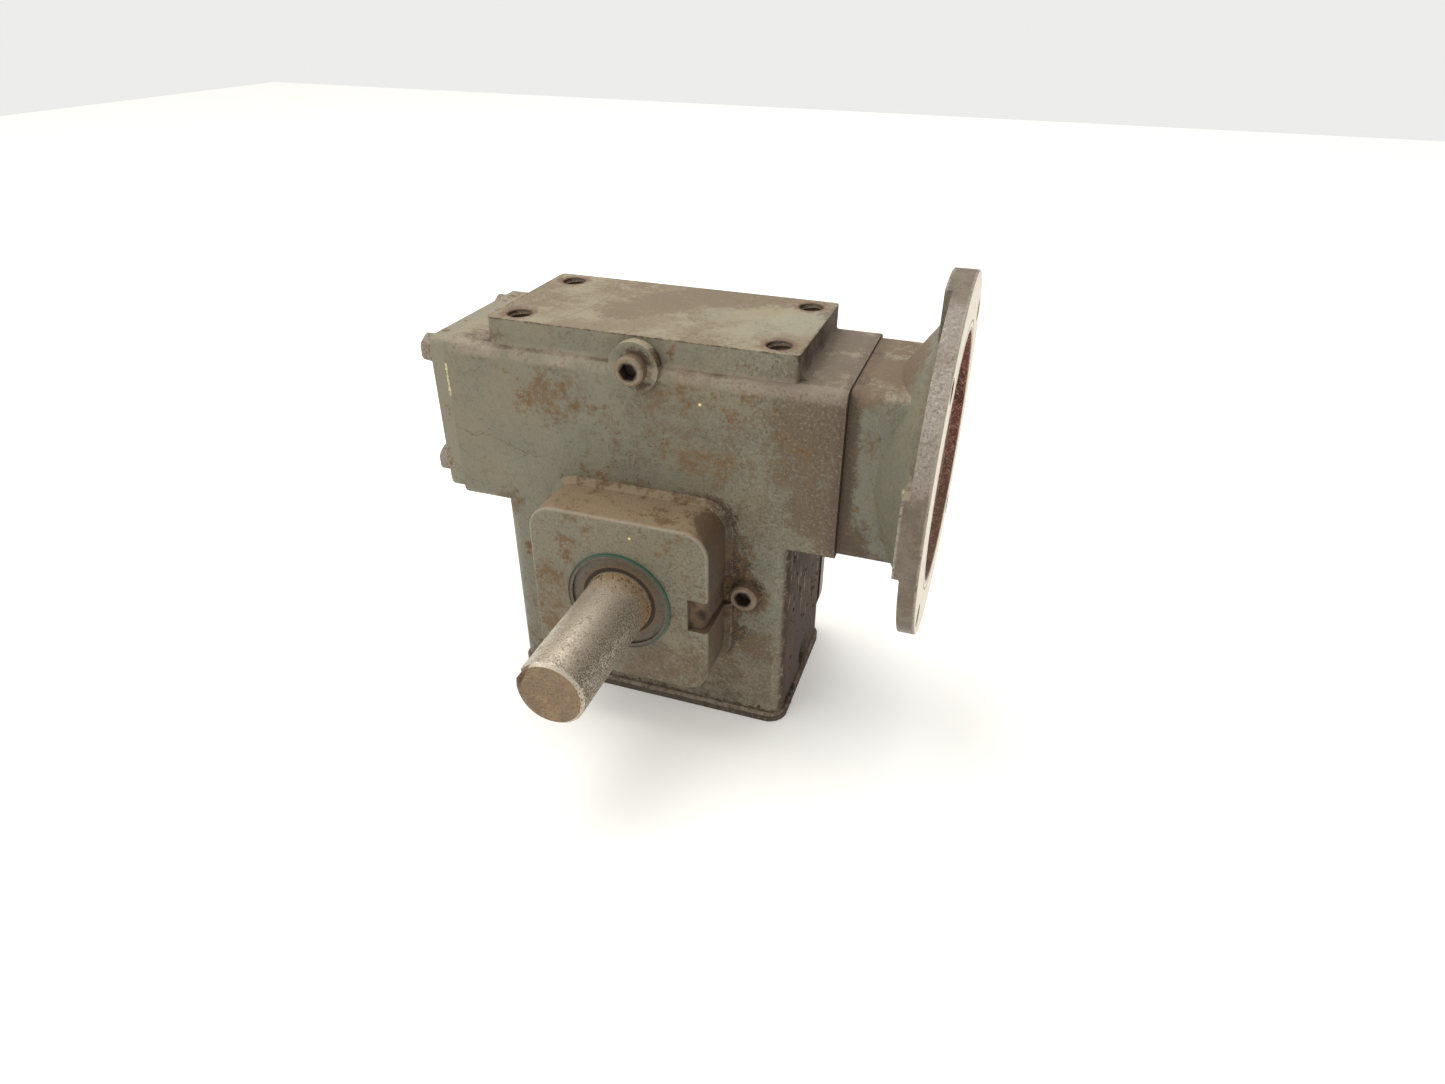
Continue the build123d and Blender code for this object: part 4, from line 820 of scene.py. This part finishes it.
def plug_look(name, centre_first, centre_second, along):
    """Plated steel plug, rusty on its side and bright at its worn outer edge."""
    look = Look(name, tint(120, 106, 88), 0.5, metallic=0.55)
    small = look.noise(1.1, 4, 0.65)
    mid = look.noise(3.5, 3, 0.6, shift=8.0)
    first = {"y": look.x, "x": look.y}[along]
    radial = look.circle(first - centre_first, look.z - centre_second, 0.0)
    look.layer(mid.rise(0.4, 0.6) * 0.7, tint(104, 78, 56), 0.8, 0.1)
    look.layer(small.rise(0.55, 0.66) * 0.7, tint(72, 52, 38), 0.85, 0.0)
    face = {"y": -look.ny, "x": look.nx}[along]
    ring = radial.between(5.0, 6.6, 0.4) * face.rise(0.3, 0.6)
    look.layer(ring * small.rise(0.34, 0.56) * 0.5, tint(144, 129, 107), 0.45, 0.4)
    look.layer(radial.rise(4.6, 4.1), tint(66, 54, 45), 0.5, 0.3)
    look.raise_by((small - 0.5) * 0.14)
    return look.done(specular=0.5)


def bolt_look():
    """Painted bolt heads, rusty where the paint is worn."""
    look = Look("bolt_paint_worn", tint(128, 118, 103), 0.55)
    small = look.noise(1.4, 4, 0.65)
    mid = look.noise(4.5, 3, 0.6, shift=4.0)
    look.layer(mid.rise(0.42, 0.6) * 0.6, tint(122, 99, 84), 0.75)
    look.layer(small.rise(0.54, 0.66) * 0.8, tint(92, 68, 52), 0.9)
    look.layer(small.rise(0.46, 0.38) * 0.4, tint(154, 146, 132), 0.45)
    look.raise_by((small - 0.5) * 0.18)
    return look.done(specular=0.4)


def metal_look(name, colour, roughness, grain_stretch=(1, 1, 1), dirt=0.4, metallic=0.95):
    """Machined metal with tool marks and oil stains, for the working parts."""
    look = Look(name, colour, roughness, metallic=metallic)
    marks = look.noise(1.2, 3, 0.6, stretch=grain_stretch)
    mid = look.noise(9.0, 4, 0.6, shift=6.0)
    look.shade(0.85 + marks * 0.3)
    look.layer(mid.rise(0.5, 0.68) * dirt, tint(96, 78, 52), roughness + 0.15, metallic * 0.6)
    look.raise_by((marks - 0.5) * 0.03)
    return look.done(specular=0.5)


def soft_look(name, colour, roughness):
    """Rubber and gasket paper: dull, mottled with oil."""
    look = Look(name, colour, roughness)
    small = look.noise(1.0, 4, 0.65)
    mid = look.noise(6.0, 3, 0.6, shift=2.0)
    look.shade(0.75 + mid * 0.5)
    look.layer(small.rise(0.58, 0.68) * 0.4, tint(92, 76, 58), roughness)
    look.raise_by((small - 0.5) * 0.08)
    return look.done(specular=0.35)


def crust_look(name, colour, dark):
    """Dry crumbs of rust, dirt or filler in two tones."""
    look = Look(name, colour, 0.9)
    small = look.noise(0.8, 4, 0.65)
    look.layer(small.rise(0.45, 0.62) * 0.8, dark, 0.9)
    look.raise_by((small - 0.5) * 0.2)
    return look.done(specular=0.2)


def thread_look():
    """Rusty cut threads with bright crests."""
    look = Look("thread_rusty_iron", tint(78, 62, 50), 0.6, metallic=0.3)
    small = look.noise(1.0, 3, 0.6)
    look.layer(small.rise(0.48, 0.62) * 0.8, tint(120, 86, 56), 0.8, 0.0)
    look.layer(small.rise(0.44, 0.34) * 0.5, tint(150, 140, 124), 0.4, 0.6)
    look.raise_by((small - 0.5) * 0.1)
    return look.done()


# --- materials of the CAD nodes ----------------------------------------------------------------------
STEEL = tint(176, 174, 170)

slot_looks = {
    "casting_paint": plain_casting_look("cover_paint_worn"),
    "fastener_paint": bolt_look(),
    "plug_steel": metal_look("plated_screw_steel", tint(128, 118, 102), 0.4, dirt=0.7, metallic=0.8),
    "shaft_steel": metal_look("ground_steel", tint(170, 166, 158), 0.3, (6, 0.2, 6)),
    "bearing_steel": metal_look("bearing_steel", STEEL, 0.16, (3, 3, 3), 0.15),
    "cage_steel": metal_look("pressed_cage_steel", tint(168, 160, 142), 0.35, dirt=0.3),
    "gear_bronze": metal_look("gear_bronze", tint(198, 156, 92), 0.3, (1, 4, 1), 0.35),
    "hub_iron": metal_look("machined_iron", tint(98, 96, 94), 0.45, (1, 3, 1), 0.5, 0.7),
    "seal_case": soft_look("seal_case_lacquer", tint(70, 62, 54), 0.45),
    "seal_coat": seal_coat_look(),
    "seal_rubber": soft_look("nitrile_rubber", tint(58, 49, 40), 0.8),
    "gasket": soft_look("gasket_paper", tint(52, 42, 34), 0.85),
}
node_looks = {
    "end_cover_gasket": slot_looks["casting_paint"],
    "housing_casting": casting_look(),
    "input_adapter": adapter_look(),
    "output_shaft": shaft_look(),
    "output_seal_case": seal_face_look(),
    "fill_plug": plug_look("fill_plug_steel", FILL_X, FILL_Z, "y"),
    "level_plug": plug_look("level_plug_steel", LEVEL_X, LEVEL_Z, "y"),
    "drain_plug": plug_look("drain_plug_steel", DRAIN_Y, DRAIN_Z, "x"),
}


def give(piece, material):
    """Sets a piece's only material."""
    piece.data.materials.clear()
    piece.data.materials.append(material)


for part in frame["record"]["subparts"]:
    node = part["node"]
    look = node_looks.get(node) or slot_looks[part["material_slot"]]
    give(NODES[node], look)


# --- pieces built in Blender -------------------------------------------------------------------------
def new_object(name, mesh):
    """Turns a bmesh into a linked object, and frees it."""
    data = bpy.data.meshes.new(name)
    mesh.to_mesh(data)
    mesh.free()
    made = bpy.data.objects.new(name, data)
    bpy.context.scene.collection.objects.link(made)
    return made


def new_piece(name, mesh, body, material, smooth=True):
    """A piece of the visual model, from a bmesh, that rides a body."""
    piece = new_object(name, mesh)
    give(piece, material)
    if smooth:
        piece.data.shade_smooth()
    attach(piece, body)
    return piece


def thread_ridge(mesh, centre, top, depth, wall, crest, pitch):
    """A helical ridge with a triangular section on a hole's wall, going down from top."""
    steps = 28
    count = int(depth / pitch * steps)
    rings = []
    for index in range(count + 1):
        turn = index / steps
        angle = 2 * math.pi * turn
        fade = min(1.0, index / 8, (count - index) / 8)
        z = top - pitch * 0.5 - turn * pitch
        ring = []
        for radius, lift in ((wall, 0.46), (wall + (crest - wall) * fade, 0.08),
                             (wall + (crest - wall) * fade, -0.08), (wall, -0.46)):
            place = Vector((centre[0] + radius * math.cos(angle), centre[1] + radius * math.sin(angle),
                            z + lift * pitch))
            ring.append(mesh.verts.new(place * MM))
        rings.append(ring)
    for one, two in zip(rings, rings[1:]):
        for side in range(4):
            other = (side + 1) % 4
            mesh.faces.new((one[side], two[side], two[other], one[other]))
    mesh.faces.new(rings[0])
    mesh.faces.new(rings[-1][::-1])


threads = bmesh.new()
for hole_x in (-HOLE_X, HOLE_X):
    for hole_y in (-HOLE_Y, HOLE_Y):
        thread_ridge(threads, (hole_x, hole_y), PAD_TOP - 0.6, THREAD_DEPTH, HOLE_R + 0.06, HOLE_R - 0.75,
                     THREAD_PITCH)
bmesh.ops.recalc_face_normals(threads, faces=threads.faces)
new_piece("pad_hole_threads", threads, "housing", thread_look(), smooth=False)


def lumps(name, places, body, material, seed):
    """Irregular lumps of rust or dirt. places holds (centre, outward, width, height) in millimetres."""
    random = np.random.default_rng(seed)
    mesh = bmesh.new()
    for centre, outward, width, height in places:
        made = bmesh.ops.create_icosphere(mesh, subdivisions=2, radius=1.0)["verts"]
        turn = Vector(outward).to_track_quat("Z", "Y").to_matrix()
        wave = random.uniform(-1, 1, (4, 3)) * 3.0
        phase = random.uniform(0, 6.28, 4)
        long = random.uniform(0.75, 1.5)
        for vert in made:
            ripple = sum(math.sin(wave[k] @ np.array(vert.co) + phase[k]) for k in range(4)) * 0.09
            place = vert.co * (1 + ripple)
            place = Vector((place.x * width * long, place.y * width / long, place.z * height))
            vert.co = (Vector(centre) + turn @ place) * MM
            vert.co.z = max(vert.co.z, CASE_LOW[2] * MM)
    return new_piece(name, mesh, body, material)


rust_crust = crust_look("rust_crust", tint(122, 94, 62), tint(84, 62, 44))
dirt_crust = crust_look("dirt_crust", tint(84, 71, 56), tint(58, 46, 36))

# rust grows on the shaft just outside the seal
seeds = np.random.default_rng(7)
shaft_rust = []
for index in range(150):
    angle = seeds.uniform(0, 2 * math.pi)
    along = SEAL_LOW[1] - 0.5 - abs(seeds.normal(0, 2.6))
    outward = (math.cos(angle), 0.0, math.sin(angle))
    width = seeds.uniform(0.25, 0.75)
    centre = (outward[0] * (SHAFT_R - 0.02), along, SHAFT_Z + outward[2] * (SHAFT_R - 0.02))
    shaft_rust.append((centre, outward, width, width * seeds.uniform(0.25, 0.5)))
lumps("shaft_root_rust", shaft_rust, "output", rust_crust, 11)

# dirt clings beside the level plug, under the boss's bottom edge and along the case's foot
dirt = []
for index in range(46):
    angle = seeds.uniform(0, 2 * math.pi)
    reach = 7.4 + abs(seeds.normal(0, 0.9))
    width = seeds.uniform(0.3, 0.8)
    centre = (LEVEL_X + reach * math.cos(angle), FRONT_Y + 0.05, LEVEL_Z + reach * math.sin(angle))
    dirt.append((centre, (0, -1, 0), width, width * 0.4))
for index in range(90):
    width = seeds.uniform(0.4, 1.3)
    side = seeds.uniform(-66, 66)
    height = LIP_TOP + 0.6 + abs(seeds.normal(0, 0.8))
    dirt.append(((side, FRONT_Y + 0.1, height), (0, -1, 0), width, width * 0.4))
for index in range(60):
    width = seeds.uniform(0.4, 1.2)
    height = seeds.uniform(3, 100)
    dirt.append(((CASE_X + 0.05, seeds.uniform(-30, 30), height), (1, 0, 0), width, width * 0.45))
dirt += [
    ((CASE_X + 1.5, -29.5, 6.4), (1, 0, 0.3), 2.4, 1.3),
    ((CASE_X + 1.5, -25.0, 5.6), (1, 0, 0.3), 1.6, 0.9),
    ((CASE_X + 1.5, -18.5, 6.0), (1, 0, 0.3), 1.9, 0.8),
    ((41.0, FRONT_Y - 1.4, 1.4), (0, -1, 0), 1.6, 0.7),
    ((35.0, FRONT_Y - 1.4, 1.2), (0, -1, 0), 1.1, 0.6),
]
lumps("dirt_crumbs", dirt, "housing", dirt_crust, 12)

# old filler stands in the seam between the end cover and the case
filler_look = crust_look("seam_filler", tint(206, 196, 160), tint(150, 138, 108))
filler = []
for index in range(26):
    share = index / 25
    centre = (COVER_HIGH[0] + 0.25, FRONT_Y - 0.02, 159.0 + 16.0 * share)
    filler.append((centre, (0, -1, 0), 0.42 + 0.2 * math.sin(9 * share) ** 2, 0.16))
lumps("seam_filler_bead", filler, "housing", filler_look, 13)

# dirt and rust packed into the notch in the boss's edge, a few millimetres short of its face
SINK = 0.3
FACE_GAP = 3.6
SIDE_GAP = 1.2
CENTRE_ACROSS = 0.1
FRONT_FROM = 0.55
RIPPLES = 9


def packed_dirt():
    """A block that fills the notch, rounded and uneven where it shows and hollow at its middle."""
    mesh = bmesh.new()
    bmesh.ops.create_cube(mesh, size=2.0)
    bmesh.ops.subdivide_edges(mesh, edges=mesh.edges[:], cuts=13, use_grid_fill=True)
    random = np.random.default_rng(21)
    ways = random.uniform(-1, 1, (RIPPLES, 3)) * 6.0
    starts = random.uniform(0, 6.28, RIPPLES)
    lows = (NOTCH_X - SINK, BOSS_FACE + FACE_GAP, SHAFT_Z - NOTCH_HALF - SINK)
    highs = (BOSS_HALF - SIDE_GAP, FRONT_Y + SINK, SHAFT_Z + NOTCH_HALF + SINK)
    for vert in mesh.verts:
        here = np.array(vert.co)
        bend = sum(math.sin(ways[k] @ here + starts[k]) for k in range(RIPPLES)) / RIPPLES
        across = max(0.0, here[0] - CENTRE_ACROSS) / (1 - CENTRE_ACROSS)
        ahead = max(0.0, -here[1] - FRONT_FROM) / (1 - FRONT_FROM)
        over = math.hypot(across, ahead)
        if min(across, ahead) > 0 and over > 1:
            here[0] = CENTRE_ACROSS + (1 - CENTRE_ACROSS) * across / over
            here[1] = -FRONT_FROM - (1 - FRONT_FROM) * ahead / over
        place = [low + (high - low) * (part + 1) / 2 for low, high, part in zip(lows, highs, here)]
        if ahead > 0:
            hollow = math.exp(-((here[0] - CENTRE_ACROSS) ** 2 + (here[2] + 0.25) ** 2) / 0.16)
            place[1] += ahead * (bend * 1.4 + hollow * 2.4 + here[2] ** 4 * -1.2)
        if across > 0:
            place[0] += across * (bend - 0.6)
        vert.co = Vector(place) * MM
    return mesh


def packed_dirt_look():
    """Caked brown dirt, with a painted shadow at the middle of the notch."""
    look = Look("packed_dirt", tint(102, 82, 63), 0.9)
    small = look.noise(1.3, 4, 0.65)
    mid = look.noise(4.0, 3, 0.6, shift=6.0)
    look.layer(mid.rise(0.45, 0.6) * 0.7, tint(82, 62, 50), 0.9)
    look.layer(small.rise(0.54, 0.66) * 0.7, tint(122, 104, 80), 0.9)
    # a painted shadow at the middle of the notch
    middle = look.spots([((NOTCH_X + 6, BOSS_FACE + 4, SHAFT_Z - 2), 4.5, 1.0)])
    look.layer(middle, tint(56, 42, 36), 0.9)
    # darker towards the boss's side: dirt and painted shade
    look.layer(look.x.rise(NOTCH_X + 6, BOSS_HALF - 1.5) * 0.7, tint(74, 56, 44), 0.9)
    look.raise_by((small - 0.5) * 0.5)
    return look.done()


new_piece("notch_packed_dirt", packed_dirt(), "housing", packed_dirt_look())


# --- camera ------------------------------------------------------------------------------------------
camera_data = bpy.data.cameras.new("camera")
camera_data.sensor_fit = "HORIZONTAL"
camera_data.sensor_width = 36.0
camera_data.lens = 22.531
camera_data.clip_start = 0.01
camera_data.clip_end = 50.0
camera = bpy.data.objects.new("camera", camera_data)
bpy.context.scene.collection.objects.link(camera)
view_axes = Matrix(((0.946921, -0.177698, 0.267888),
                    (0.321336, 0.49952, -0.804502),
                    (0.009143, 0.847882, 0.530106))).to_4x4()
camera.matrix_world = Matrix.Translation((0.156657, -0.385252, 0.331407)) @ view_axes
bpy.context.scene.camera = camera


# --- floor and light ---------------------------------------------------------------------------------
def stage_look():
    """A pale worktop with faint stains, which glows faintly: painted light that lightens the shadows on
    it.
    """
    look = Look("floor_pale_laminate", tint(250, 248, 244), 0.42)
    wide = look.noise(180.0, 3)
    small = look.noise(5.0, 4, 0.65)
    look.layer(wide.rise(0.4, 0.7) * 0.25, tint(244, 241, 234))
    look.layer(small.rise(0.66, 0.74) * 0.12, tint(210, 202, 186))
    look.raise_by((small - 0.5) * 0.02)
    # the floor glows faintly: painted light that lightens the shadows on it and lights the object from
    # below
    look.shader.inputs["Emission Color"].default_value = (1.0, 1.0, 0.99, 1.0)
    look.shader.inputs["Emission Strength"].default_value = 0.16
    return look.done(specular=0.35)


FLOOR_REACH = 2.5
FLOOR_CELLS = 10
FLOOR_DROP = -0.0002
floor_mesh = bmesh.new()
for row in range(FLOOR_CELLS + 1):
    for column in range(FLOOR_CELLS + 1):
        floor_mesh.verts.new((-FLOOR_REACH + 2 * FLOOR_REACH * column / FLOOR_CELLS,
                              -FLOOR_REACH + 2 * FLOOR_REACH * row / FLOOR_CELLS, FLOOR_DROP))
floor_mesh.verts.ensure_lookup_table()
for row in range(FLOOR_CELLS):
    for column in range(FLOOR_CELLS):
        first = row * (FLOOR_CELLS + 1) + column
        above = first + FLOOR_CELLS + 1
        floor_mesh.faces.new([floor_mesh.verts[k] for k in (first, first + 1, above + 1, above)])
floor = new_object("floor", floor_mesh)
give(floor, stage_look())

world = bpy.data.worlds.new("studio")
bpy.context.scene.world = world
world.use_nodes = True
world.node_tree.nodes["Background"].inputs["Color"].default_value = (0.985, 0.985, 0.97, 1.0)
world.node_tree.nodes["Background"].inputs["Strength"].default_value = 0.86


def soft_light(name, place, target, size, power, colour=(1.0, 1.0, 1.0)):
    data = bpy.data.lights.new(name, "AREA")
    data.shape = "RECTANGLE"
    data.size, data.size_y = size
    data.energy = power
    data.color = colour
    light = bpy.data.objects.new(name, data)
    bpy.context.scene.collection.objects.link(light)
    light.location = place
    light.rotation_euler = (Vector(target) - Vector(place)).to_track_quat("-Z", "Y").to_euler()


MIDDLE = (0.0, 0.0, 0.1)
soft_light("overhead_softbox", (-0.5, 0.25, 1.9), MIDDLE, (1.8, 1.2), 24, (1.0, 0.985, 0.96))
soft_light("front_softbox", (-1.3, -1.5, 1.1), MIDDLE, (1.2, 1.2), 7, (0.97, 0.985, 1.0))

bpy.context.scene.view_settings.view_transform = "Standard"
